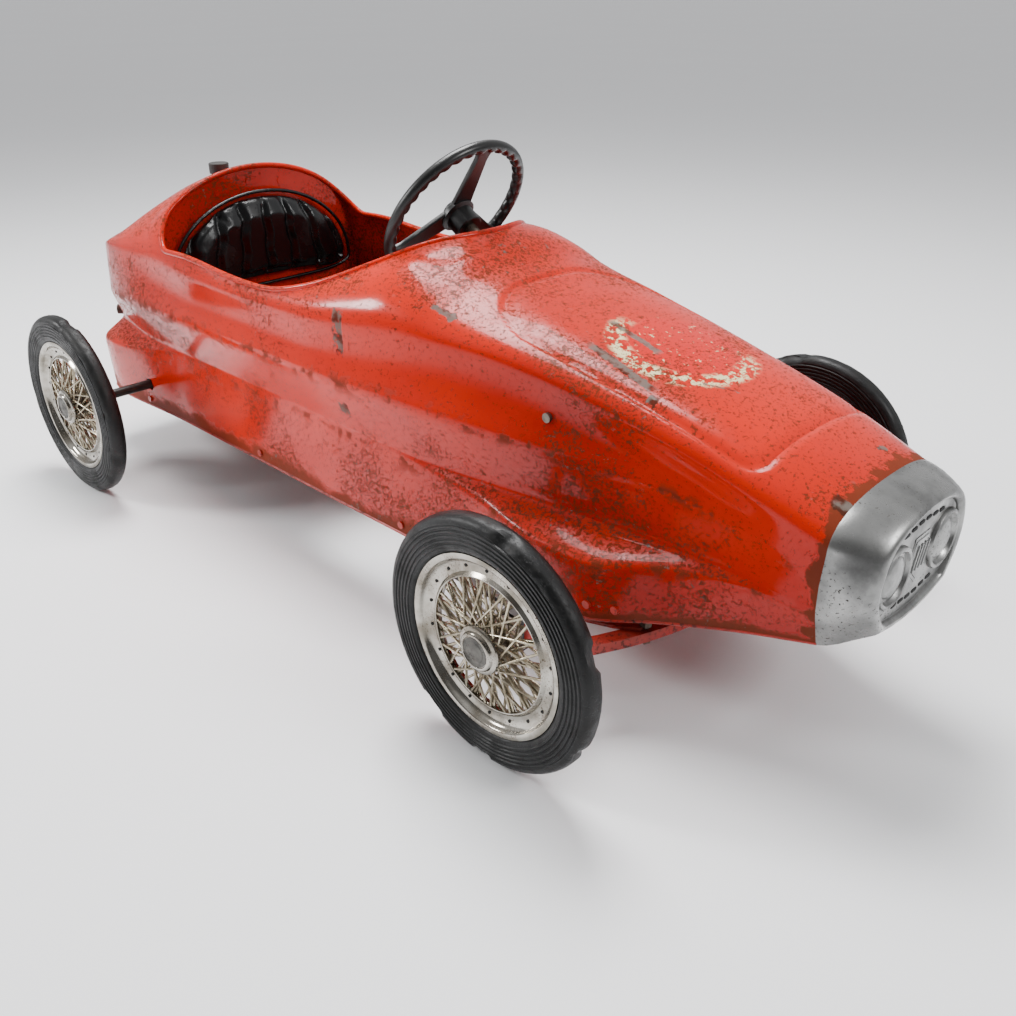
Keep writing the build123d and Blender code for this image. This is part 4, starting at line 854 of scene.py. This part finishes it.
# ---------------------------------------------------------------- nose cap
@dataclass
class NoseCap:
    """Cast cap with a wide rounded rim, two dished rounds, a plain shield and rows of slots, the slots drawn
    as dark insets of painted shade.
    """

    body: Body
    middle: float = 182.5
    back: float = 522.0
    face: float = 556.6
    lamp_at: float = 44.0
    rings: tuple = ((0.985, -1.0), (1.0, -1.0), (1.0, 1.5), (0.994, 8), (0.985, 15), (0.968, 22), (0.945, 28),
                    (0.915, 33), (0.88, 36.8), (0.845, 39.0), (0.81, 39.9), (0.785, 39.6), (0.765, 38.4),
                    (0.752, 36.4), (0.745, 35.0), (0.735, 34.6), (0.66, 34.8), (0.56, 35.0), (0.45, 35.2),
                    (0.3, 35.4), (0.15, 35.5), (0.0, 35.5))
    dish: tuple = ((27.0, -0.8), (26.8, 2.0), (25.8, 3.6), (24.2, 4.2), (22.8, 3.6), (21.8, 1.6), (20.6, 0.2),
                   (18.6, 0.1), (17.6, 1.2), (15.0, 2.4), (9.0, 3.6), (3.0, 4.0), (0.0, 4.0))

    def build(self, metal: bpy.types.Material, dark: bpy.types.Material) -> None:
        """Makes the cap and what is on it."""
        left = self.body.section(self.back)
        outline = both_sides(left)
        hem_y, hem_z = left[-1]
        for at in range(1, 14):
            outline.append((hem_y * (1 - 2 * at / 14), hem_z - 0.6 * math.sin(math.pi * at / 14)))
        verts = []
        for scale, ahead in self.rings:
            soft = smooth(ahead, 0, 36) * 0.6
            for y, z in outline:
                turn = math.atan2((z - self.middle) / 60, y / 92)
                y += (92 * math.cos(turn) - y) * soft
                z += (self.middle + 59 * math.sin(turn) - z) * soft
                place = (self.back + ahead, y * scale, self.middle + (z - self.middle) * scale)
                verts.append(Vector(place) * MM)
        parts = [(verts, bands(len(self.rings), len(outline)))]
        out = Vector((1, 0, 0))
        for side in (-1, 1):
            centre = Vector((self.face, side * self.lamp_at, self.middle)) * MM
            parts.append(turned(self.dish, centre, out, 72, False))
        parts.append(self.shield())
        make_piece("nose_cap_casting", *merge(parts), metal, FRAME_BODY, "cap_metal", ("nose_cap",))
        # the slots are dark insets of painted shade, not openings
        slots = []
        for row in (-1, 1):
            for at in range(6):
                y = (at - 2.5) * 12.5
                z = self.middle + row * (34.5 - abs(at - 2.5) * 1.2)
                slots.append(self.capsule(y, z, 4.6, 1.7))
        make_piece("nose_cap_slot_shade", *merge(slots), dark, FRAME_BODY, "cap_metal", edge=Edge.SOFT)

    def capsule(self, y: float, z: float, half: float, radius: float) -> tuple:
        """A slot-shaped dark inset just proud of the face, painted shade where the slot would be open."""
        ring = stadium((y, z), half - radius, radius, 16)
        return self.slab(ring, ring, -1.5, 0.9)

    def slab(self, under: list, over: list, low: float, high: float) -> tuple:
        """Flat-topped piece between two outlines at two heights over the face."""
        verts = [Vector((self.face + low, y, z)) * MM for y, z in under]
        verts += [Vector((self.face + high, y, z)) * MM for y, z in over]
        count = len(under)
        return verts, [tuple(range(count)), tuple(range(2 * count - 1, count - 1, -1))] + bands(2, count)

    def shield(self) -> tuple:
        """A plain six-sided shield with slanting ribs."""
        edge = [(-13, 22), (13, 22), (17, 8), (13, -12), (0, -24), (-13, -12), (-17, 8)]
        parts = []
        for scale, low, high in ((1.0, -1.0, 1.3), (0.84, 1.0, 2.0)):
            under = [(y * scale, self.middle + z * scale) for y, z in edge]
            over = [(y * 0.97, self.middle + (z - self.middle) * 0.97) for y, z in under]
            parts.append(self.slab(under, over, low, high))
        for at in range(4):
            y = (at - 1.5) * 6.0
            path = [Vector((self.face + 2.0, y - 3.5, self.middle - 9)) * MM,
                    Vector((self.face + 2.0, y + 3.5, self.middle + 13)) * MM]
            parts.append(tube(path, 1.3 * MM, 8))
        return merge(parts)


# ---------------------------------------------------------------- wheels
@dataclass
class Wheel:
    """One wire wheel with its solid tyre."""

    name: str
    body: str
    x: float
    side: int
    plane: float = 0.256
    axle: float = 0.115
    hairpins: int = 16
    rim_hole_shades: int = 18
    tear: float = 0.0026  # how far torn rubber stands back from the tread
    tear_side: float = 0.0016  # and from the side of the tyre

    @property
    def centre(self) -> Vector:
        """Middle of the wheel."""
        return Vector((self.x, self.side * self.plane, self.axle))

    @property
    def out(self) -> Vector:
        """Direction away from the car."""
        return Vector((0, self.side, 0))

    def build(self, looks: dict) -> None:
        """Makes the tyre, rim, wires and hub cap."""
        self.tyre(looks["tyre"])
        self.rim(looks["chrome"], looks["dark"])
        self.wires(looks["wire"])
        self.cap(looks["chrome"], looks["disc"])

    def tyre(self, rubber: bpy.types.Material) -> None:
        """Turns the tyre, then knocks and tears its shoulders a little."""
        half = [(78.0, 0.0), (78.0, 6.0), (83.2, 6.8), (84.2, 8.4), (86.0, 9.6)]
        for at in range(5):
            r = 88.0 + 3.9 * at
            half += [(r, 9.9), (r + 0.8, 10.9), (r + 2.2, 10.9), (r + 3.0, 9.9)]
        half += [(108.0, 10.3), (110.6, 9.4), (112.8, 7.6), (114.3, 5.2), (114.9, 2.6)]
        profile = half + [(114.95, 0.0)] + [(r, -o) for r, o in half[:0:-1]]
        obj = spun(f"{self.name}_tyre_rubber", profile, self.centre, self.out, 144)
        chance = random.Random(sum(map(ord, self.name)))
        shift = Vector((chance.uniform(0, 50), chance.uniform(0, 50), chance.uniform(0, 50)))
        for vert in obj.data.vertices:
            arm = vert.co - self.centre
            out = arm.dot(self.out)
            flat = arm - self.out * out
            radius = flat.length
            torn = smooth(noise.noise(vert.co * 34 + shift), 0.34, 0.46) * smooth(radius, 0.1045, 0.110)
            rough = noise.noise(vert.co * 160 + shift) * 0.0004 * smooth(radius, 0.100, 0.108)
            inward = flat.normalized() * (self.tear * torn + abs(rough))
            vert.co -= inward + self.out * (math.copysign(self.tear_side, out) * torn)
        obj.data.materials.append(rubber)
        settle(obj, self.body, (f"{self.name}_tyre",), Edge.CRISP)

    def rim(self, chrome: bpy.types.Material, dark: bpy.types.Material) -> None:
        """Turns the plated rim and sets its ring of small holes, drawn as dark discs of painted shade."""
        face = [(83.0, 7.2), (82.8, 8.2), (81.6, 8.49), (79.8, 8.49), (78.3, 8.2), (77.2, 7.3), (76.4, 5.2),
                (74.8, 3.0), (72.0, 1.4), (68.0, 0.6), (64.6, 1.0), (62.8, 2.6), (61.6, 3.6), (60.6, 3.5),
                (60.1, 2.6)]
        profile = face + [(60.1, 0.0)] + [(r, -o) for r, o in face[::-1]] + [(79.0, -6.6), (79.0, 6.6)]
        obj = spun(f"{self.name}_rim_plated", profile, self.centre, self.out, 128)
        obj.data.materials.append(chrome)
        settle(obj, self.body, (f"{self.name}_rim",), Edge.CRISP)
        # the holes are dark discs of painted shade, not openings
        spots = []
        for at in range(self.rim_hole_shades):
            turn = 2 * math.pi * (at + 0.5) / self.rim_hole_shades
            spot = self.centre + Vector((math.cos(turn), 0, math.sin(turn))) * 0.0697
            spots.append(turned([(0.0, 0.2), (0.0, 1.5), (1.5, 1.45), (1.6, 0.2)], spot, self.out, 14))
        make_piece(f"{self.name}_rim_hole_shades", *merge(spots), dark, self.body, "bright_plate",
                   edge=Edge.SOFT)

    def wires(self, wire: bpy.types.Material) -> None:
        """Bends the hairpin wires of both layers and the rings that hold them."""
        parts = []
        for face, lean, offset in ((1, 42, 0.0), (-1, 42, 0.5), (0.3, 22, 0.25)):
            for at in range(self.hairpins):
                middle = 360 * (at + offset) / self.hairpins
                parts.append(tube(self.hairpin(face, middle, lean), 1.3 * MM, 6))
        for face in (1, -1):
            ring = ((14.6, 6.0), (17.6, 6.4), (18.2, 8.4), (17.0, 9.8), (14.6, 10))
            parts.append(turned([(r, face * o) for r, o in ring], self.centre, self.out, 48))
        make_piece(f"{self.name}_wires", *merge(parts), wire, self.body, "wire_plate",
                   (f"{self.name}_spokes",), edge=Edge.SOFT)

    def hairpin(self, face: float, middle: float, lean: float) -> list:
        """Points of one wire from the rim to a bend at the hub and back to the rim."""
        def point(radius: float, degrees: float, out: float) -> Vector:
            turn = math.radians(degrees)
            ray = Vector((math.cos(turn), 0, math.sin(turn)))
            return self.centre + ray * (radius * MM) + self.out * (out * MM)

        path = []
        for sign in (-1, 1):
            leg = [point(60.8, middle + sign * lean, 1.8 * face),
                   point(58.6, middle + sign * lean * 0.985, 2.2 * face),
                   point(22, middle + sign * 7.5, 8.1 * face),
                   point(19.0, middle + sign * 3.4, 8.5 * face)]
            path += leg if sign < 0 else leg[::-1]
        path.insert(4, point(18.2, middle, 8.6 * face))
        return path

    def cap(self, chrome: bpy.types.Material, disc: bpy.types.Material) -> None:
        """Turns the stepped hub cap and its flat grey disc."""
        steps = [(0.0, 10.4), (21.0, 10.2), (21.9, 10.6), (22.0, 11.4), (21.4, 12.6), (19.6, 13.5),
                 (18.2, 13.8), (17.7, 14.4), (17.4, 15.3), (16.5, 16.3), (15.2, 16.9), (14.2, 16.9),
                 (13.8, 16.4), (13.6, 16.0), (0.0, 16.0)]
        make_piece(f"{self.name}_hub_cap_plated", *turned(steps, self.centre, self.out, 72, False), chrome,
                   self.body, "bright_plate", (f"{self.name}_hub_cap",))
        face = [(0.0, 15.4), (0.0, 16.6), (9.0, 16.45), (9.3, 16.2), (12.6, 16.2), (13.2, 16.5), (13.4, 15.4)]
        make_piece(f"{self.name}_hub_cap_disc", *turned(face, self.centre, self.out, 72), disc, self.body,
                   "bright_plate")


# ---------------------------------------------------------------- steering wheel
@dataclass
class SteeringWheel:
    """Moulded wheel with finger grips and three flat spokes."""

    centre: tuple = (0.023, 0.0, 0.380)
    slope: float = 33.3
    ring: float = 0.0815
    thick: float = 0.0064
    grips: int = 36
    grip_depth: float = 0.24  # share of the rim's thickness

    def axes(self) -> tuple:
        """Directions to the driver, up the wheel and to its right."""
        s, c = math.sin(math.radians(self.slope)), math.cos(math.radians(self.slope))
        return Vector((-c, 0, s)), Vector((s, 0, c)), Vector((0, -1, 0))

    def build(self, plastic: bpy.types.Material) -> None:
        """Makes the rim, spokes and hub as one moulding."""
        to_driver, up, right = self.axes()
        centre = Vector(self.centre)
        place = Matrix((right, up, to_driver)).transposed().to_4x4()
        place.translation = centre
        bpy.ops.object.select_all(action="DESELECT")
        bpy.ops.mesh.primitive_torus_add(major_radius=self.ring, minor_radius=self.thick,
                                         major_segments=224, minor_segments=20)
        rim = bpy.context.active_object
        for vert in rim.data.vertices:
            turn = math.atan2(vert.co.y, vert.co.x)
            flat = Vector((vert.co.x, vert.co.y, 0)).normalized() * self.ring
            arm = vert.co - flat
            inner = smooth(-arm.normalized().dot(flat.normalized()) - 0.35 * arm.normalized().z, -0.1, 0.6)
            notch = 0.5 + 0.5 * math.cos(self.grips * turn)
            vert.co = flat + arm * (1 - self.grip_depth * inner * notch**2)
        rim.data.transform(place)
        parts = [self.spoke(place, turn) for turn in (90, 210, 330)]
        hub = [(0.0, 6.8), (8.0, 6.6), (11.2, 5.6), (12.0, 4.4), (12.2, 1.5), (16.5, 1.0), (19.0, -1.5),
               (19.6, -6.0), (15.4, -8.0), (15.0, -25.0), (13.8, -26.0), (7.05, -26.0), (7.05, 0.0),
               (0.0, 0.0)]
        parts.append(turned(hub, centre, to_driver, 64))
        piece = make_piece("steering_wheel_moulding", *merge(parts), plastic, "steering", "wheel_plastic",
                           ("steering_wheel", "steering_wheel_nut"))
        rim.data.materials.append(plastic)
        only(rim)
        piece.select_set(True)
        bpy.context.view_layer.objects.active = piece
        bpy.ops.object.join()
        only(piece)
        bpy.ops.object.shade_smooth_by_angle(angle=math.radians(Edge.CRISP.value))

    def spoke(self, place: Matrix, turn: float) -> tuple:
        """One flat spoke with rounded edges and a sunk middle, wider at the hub."""
        shape = ((-1.0, -0.001), (-0.94, 0.0005), (-0.62, 0.0005), (-0.5, -0.0009), (0.5, -0.0009),
                 (0.62, 0.0005), (0.94, 0.0005), (1.0, -0.001), (1.0, -0.0035), (0.9, -0.0048),
                 (-0.9, -0.0048), (-1.0, -0.0035))
        spin = Matrix.Rotation(math.radians(turn), 4, "Z")
        rows, verts = 13, []
        for at in range(rows):
            t = at / (rows - 1)
            radius = 0.012 + (self.ring - 0.0135) * t
            half = 0.0125 - 0.0065 * t + 0.004 * smooth(t, 0.86, 1.0)
            verts += [place @ spin @ Vector((radius, across * half, high)) for across, high in shape]
        return verts, bands(rows, len(shape)) + ends(rows, len(shape))


# ---------------------------------------------------------------- seat pad
@dataclass
class SeatPad:
    """Stuffed back pad with upright sewn channels and a corded edge."""

    wall: float = -0.3588
    thick: float = 0.0205
    half: float = 0.132
    bottom: float = 0.241
    spring: float = 0.256
    top: float = 0.352
    heart: float = 0.29  # height its outline shrinks to
    channels: int = 6
    channel_width: float = 0.041
    channel_sink: float = 0.007
    deepest_front: float = 0.0228  # how far the front may stand off the wall
    pressure: float = 4.0
    frames: int = 20
    swell_limit: float = 0.007

    def outline(self, grow: float = 0.0, count: int = 96) -> list:
        """Rounded D outline as (y, z) points."""
        points = []
        for at in range(count):
            turn = 2 * math.pi * at / count
            c, s = math.cos(turn), math.sin(turn)
            if s >= 0:
                y, z = (self.half + grow) * c, self.spring + (self.top - self.spring + grow) * s
            else:
                y = (self.half + grow) * math.copysign(abs(c) ** 0.35, c)
                z = self.spring - (self.spring - self.bottom + grow) * abs(s) ** 0.8
            points.append((y, z))
        return points

    def build(self, cloth: bpy.types.Material) -> None:
        """Makes the stuffed pad, its channels and its cord."""
        verts = []
        ring = self.outline()
        count = len(ring)
        steps = ((0.0, 0.94), (0.25, 1.0), (0.7, 0.99), (1.0, 0.9))  # share of the depth, and size there
        for depth, scale in steps:
            for y, z in ring:
                verts.append(Vector((self.wall + self.thick * 0.8 * depth, y * scale,
                                     self.heart + (z - self.heart) * scale)))
        faces = bands(len(steps), count)
        faces += [tuple(range(count)), tuple(range(4 * count - 1, 3 * count - 1, -1))]
        pad = new_object("seat_back_pad", verts, faces)
        apply_modifier(pad, "REMESH", mode="VOXEL", voxel_size=0.004)
        self.swell(pad)
        apply_modifier(pad, "SUBSURF", levels=1, render_levels=1)
        self.sew(pad)
        pad.data.materials.append(cloth)
        settle(pad, FRAME_BODY, ("seat_pad",), Edge.SOFT)
        cord = [Vector((self.wall + 0.0095, y, z)) for y, z in self.outline(0.0035)]
        make_piece("seat_pad_cord", *tube(cord, 2.3 * MM, 8, True), cloth, FRAME_BODY, "black_vinyl",
                   edge=Edge.SOFT)

    def swell(self, pad: bpy.types.Object) -> None:
        """Blows the pad up as cloth and keeps each point within a short way of its start."""
        start = [vert.co.copy() for vert in pad.data.vertices]
        only(pad)
        modifier = pad.modifiers.new("Cloth", "CLOTH")
        modifier.settings.use_pressure = True
        modifier.settings.uniform_pressure_force = self.pressure
        modifier.settings.effector_weights.gravity = 0.0
        modifier.point_cache.frame_end = self.frames
        for number in range(1, self.frames + 1):
            bpy.context.scene.frame_set(number)
        bpy.ops.object.modifier_apply(modifier=modifier.name)
        bpy.context.scene.frame_set(1)
        for vert, old in zip(pad.data.vertices, start):
            move = vert.co - old
            if move.length > self.swell_limit:
                vert.co = old + move.normalized() * self.swell_limit
            vert.co.x = max(vert.co.x, self.wall)

    def sew(self, pad: bpy.types.Object) -> None:
        """Draws the sewn channels and small gathers into the front."""
        limit = self.wall + self.deepest_front
        for vert in pad.data.vertices:
            co = vert.co
            front = smooth(co.x - self.wall, 0.006, 0.014)
            rise = (co.z - self.bottom) / (self.top - self.bottom)
            pitch = self.channel_width * (0.72 + 0.28 * (1 - rise))
            seams = [(at - self.channels / 2) * pitch for at in range(self.channels + 1)]
            near = min(abs(co.y - seam + 0.0012 * math.sin(co.z * 160 + seam * 90)) for seam in seams)
            border = smooth(rise, 0.04, 0.16) * (1 - smooth(rise, 0.80, 0.96))
            folds = noise.noise(Vector((co.y * 30, co.z * 90, 3)))
            gather = folds * 0.0011 * math.exp(-(near / 0.012) ** 2)
            sink = self.channel_sink * math.exp(-(near / 0.0046) ** 2) * (0.35 + 0.65 * border)
            roll = 0.0035 * math.exp(-((rise - 0.13) / 0.035) ** 2)
            co.x = min(co.x - front * (sink + roll) + front * gather, limit)
        pad.data.update()


# ---------------------------------------------------------------- the rest of the frame
class Dressing:
    """Puts finishes on the CAD nodes that keep their own shape."""

    rules = (
        ("body_bolts", BARE_STEEL), ("body_rivets", RED_CHASSIS), ("tail_buttons", BROWN_STAIN),
        ("filler_cap", DULL_PLASTIC), ("seat_back_panel", None), ("seat_pan", BLACK_ENAMEL),
        ("front_axle_beam", RED_CHASSIS), ("axle_brackets", RED_CHASSIS), ("rail_mounts", BLACK_ENAMEL),
        ("axle_bushes", BRONZE), ("pedal_pad", BLACK_RUBBER), ("hub", BARE_STEEL), ("stub_nut", BARE_STEEL),
        ("axle_nuts", BARE_STEEL), ("axle_bolts", BARE_STEEL), ("kingpins", BARE_STEEL),
        ("steering_column", BARE_STEEL), ("tie_rod", BARE_STEEL), ("pedal_shaft", BARE_STEEL),
        ("pedal_collars", BARE_STEEL),
    )

    def build(self, made: dict, paint: bpy.types.Material) -> None:
        """Dresses every node by its name, and all others in black enamel."""
        for name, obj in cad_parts.items():
            finish = made[BLACK_ENAMEL.name]
            for part, chosen in self.rules:
                if name.startswith(part) or name.endswith(part):
                    finish = made[chosen.name] if chosen else paint
            obj.data.materials.clear()
            obj.data.materials.append(finish)
            LOG.info("dressed %s in %s", name, finish.name)


# ---------------------------------------------------------------- studio
@dataclass
class Studio:
    """Pale floor, soft lights and the camera."""

    eye: tuple = (0.8045, -0.7179, 0.5899)
    yaw: float = 134.56
    pitch: float = -27.79
    roll: float = -0.34
    lens: float = 35.28

    def build(self) -> None:
        """Sets the stage."""
        self.floor()
        for name, place, size, power, aim in (
            ("overhead", (-0.5, 0.3, 2.0), 1.0, 74, (0.0, 0.0, 0.2)),
            ("window", (-1.6, -1.5, 1.3), 0.5, 38, (0.0, 0.0, 0.2)),
            ("nose_side", (2.0, 0.4, 1.5), 0.6, 22, (0.2, 0.0, 0.2)),
        ):
            self.light(name, Vector(place), size, power, Vector(aim))
        world = bpy.data.worlds.new("soft_room")
        world.use_nodes = True
        self.sky(world.node_tree)
        bpy.context.scene.world = world
        self.camera()

    @staticmethod
    def sky(tree: bpy.types.NodeTree) -> None:
        """White room ahead of the camera, with a darker wall and ceiling edge behind it for the gloss."""
        nodes, link = tree.nodes, tree.links.new
        place = nodes.new("ShaderNodeTexCoord").outputs["Generated"]
        along = nodes.new("ShaderNodeVectorMath")
        along.operation = "DOT_PRODUCT"
        along.inputs[1].default_value = (-0.62, 0.66, 0.42)  # towards the bright side
        link(place, along.inputs[0])
        fade = nodes.new("ShaderNodeMapRange")
        for number, value in enumerate((-0.35, 0.15, 0.2, 0.8), 1):  # from and to, dark and bright
            fade.inputs[number].default_value = value
        link(along.outputs["Value"], fade.inputs[0])
        nodes["Background"].inputs[0].default_value = colour("FAFAFC")
        link(fade.outputs[0], nodes["Background"].inputs[1])

    def floor(self) -> None:
        """Adds a wide matte floor."""
        bpy.ops.object.select_all(action="DESELECT")
        bpy.ops.mesh.primitive_plane_add(size=120.0, location=(0, 0, -0.0005))
        floor = bpy.context.active_object
        floor.name = "studio_floor"
        bpy.ops.object.transform_apply(location=True, rotation=False, scale=False)
        g = Graph("pale_floor")
        tint = g.mix(g.noise(0.8, 3), colour("FBFBFC"), colour("F4F5F7"))
        floor.data.materials.append(g.finish(tint, 0.6))

    @staticmethod
    def light(name: str, place: Vector, size: float, power: float, aim: Vector) -> None:
        """Adds one square soft light that faces a point."""
        data = bpy.data.lights.new(name, "AREA")
        data.size = size
        data.energy = power
        lamp = bpy.data.objects.new(name, data)
        lamp.location = place
        lamp.rotation_euler = (aim - place).to_track_quat("-Z", "Y").to_euler()
        bpy.context.collection.objects.link(lamp)

    def camera(self) -> None:
        """Adds the camera at its measured place."""
        yaw, pitch, roll = (math.radians(a) for a in (self.yaw, self.pitch, self.roll))
        ahead = Vector((math.cos(pitch) * math.cos(yaw), math.cos(pitch) * math.sin(yaw), math.sin(pitch)))
        right = ahead.cross(Vector((0, 0, 1))).normalized()
        up = right.cross(ahead)
        tilted_right = right * math.cos(roll) + up * math.sin(roll)
        tilted_up = up * math.cos(roll) - right * math.sin(roll)
        data = bpy.data.cameras.new("main_camera")
        data.lens = self.lens
        data.sensor_width = 36.0
        camera = bpy.data.objects.new("main_camera", data)
        camera.matrix_world = Matrix.Translation(self.eye) @ Matrix(
            (tilted_right, tilted_up, -ahead)).transposed().to_4x4()
        bpy.context.collection.objects.link(camera)
        bpy.context.scene.camera = camera


def main() -> None:
    """Builds every piece in order."""
    logging.basicConfig(level=logging.INFO)
    paint = BodyPaint().build()
    plain = (SATIN_CAST, PAINTED_SHADE, CHROME, WIRE, BARE_STEEL, BLACK_ENAMEL, RED_CHASSIS, BLACK_RUBBER,
             BLACK_MOULDED, BROWN_STAIN, DULL_PLASTIC, BRONZE, CAP_DISC)
    made = {finish.name: finish.build() for finish in plain}
    Dressing().build(made, paint)
    body = Body()
    body.build(paint, made[RED_CHASSIS.name])
    NoseCap(body).build(made[SATIN_CAST.name], made[PAINTED_SHADE.name])
    looks = {"tyre": TyreRubber().build(), "chrome": made[CHROME.name], "wire": made[WIRE.name],
             "dark": made[PAINTED_SHADE.name], "disc": made[CAP_DISC.name]}
    for side_name, side in SIDES.items():
        Wheel(f"front_{side_name}", f"front_{side_name}_wheel", 0.327, side).build(looks)
        Wheel(f"rear_{side_name}", "rear_wheels", -0.427, side).build(looks)
    SteeringWheel().build(made[BLACK_MOULDED.name])
    SeatPad().build(CoatedCloth().build())
    Studio().build()


if __name__ == "__main__":
    main()
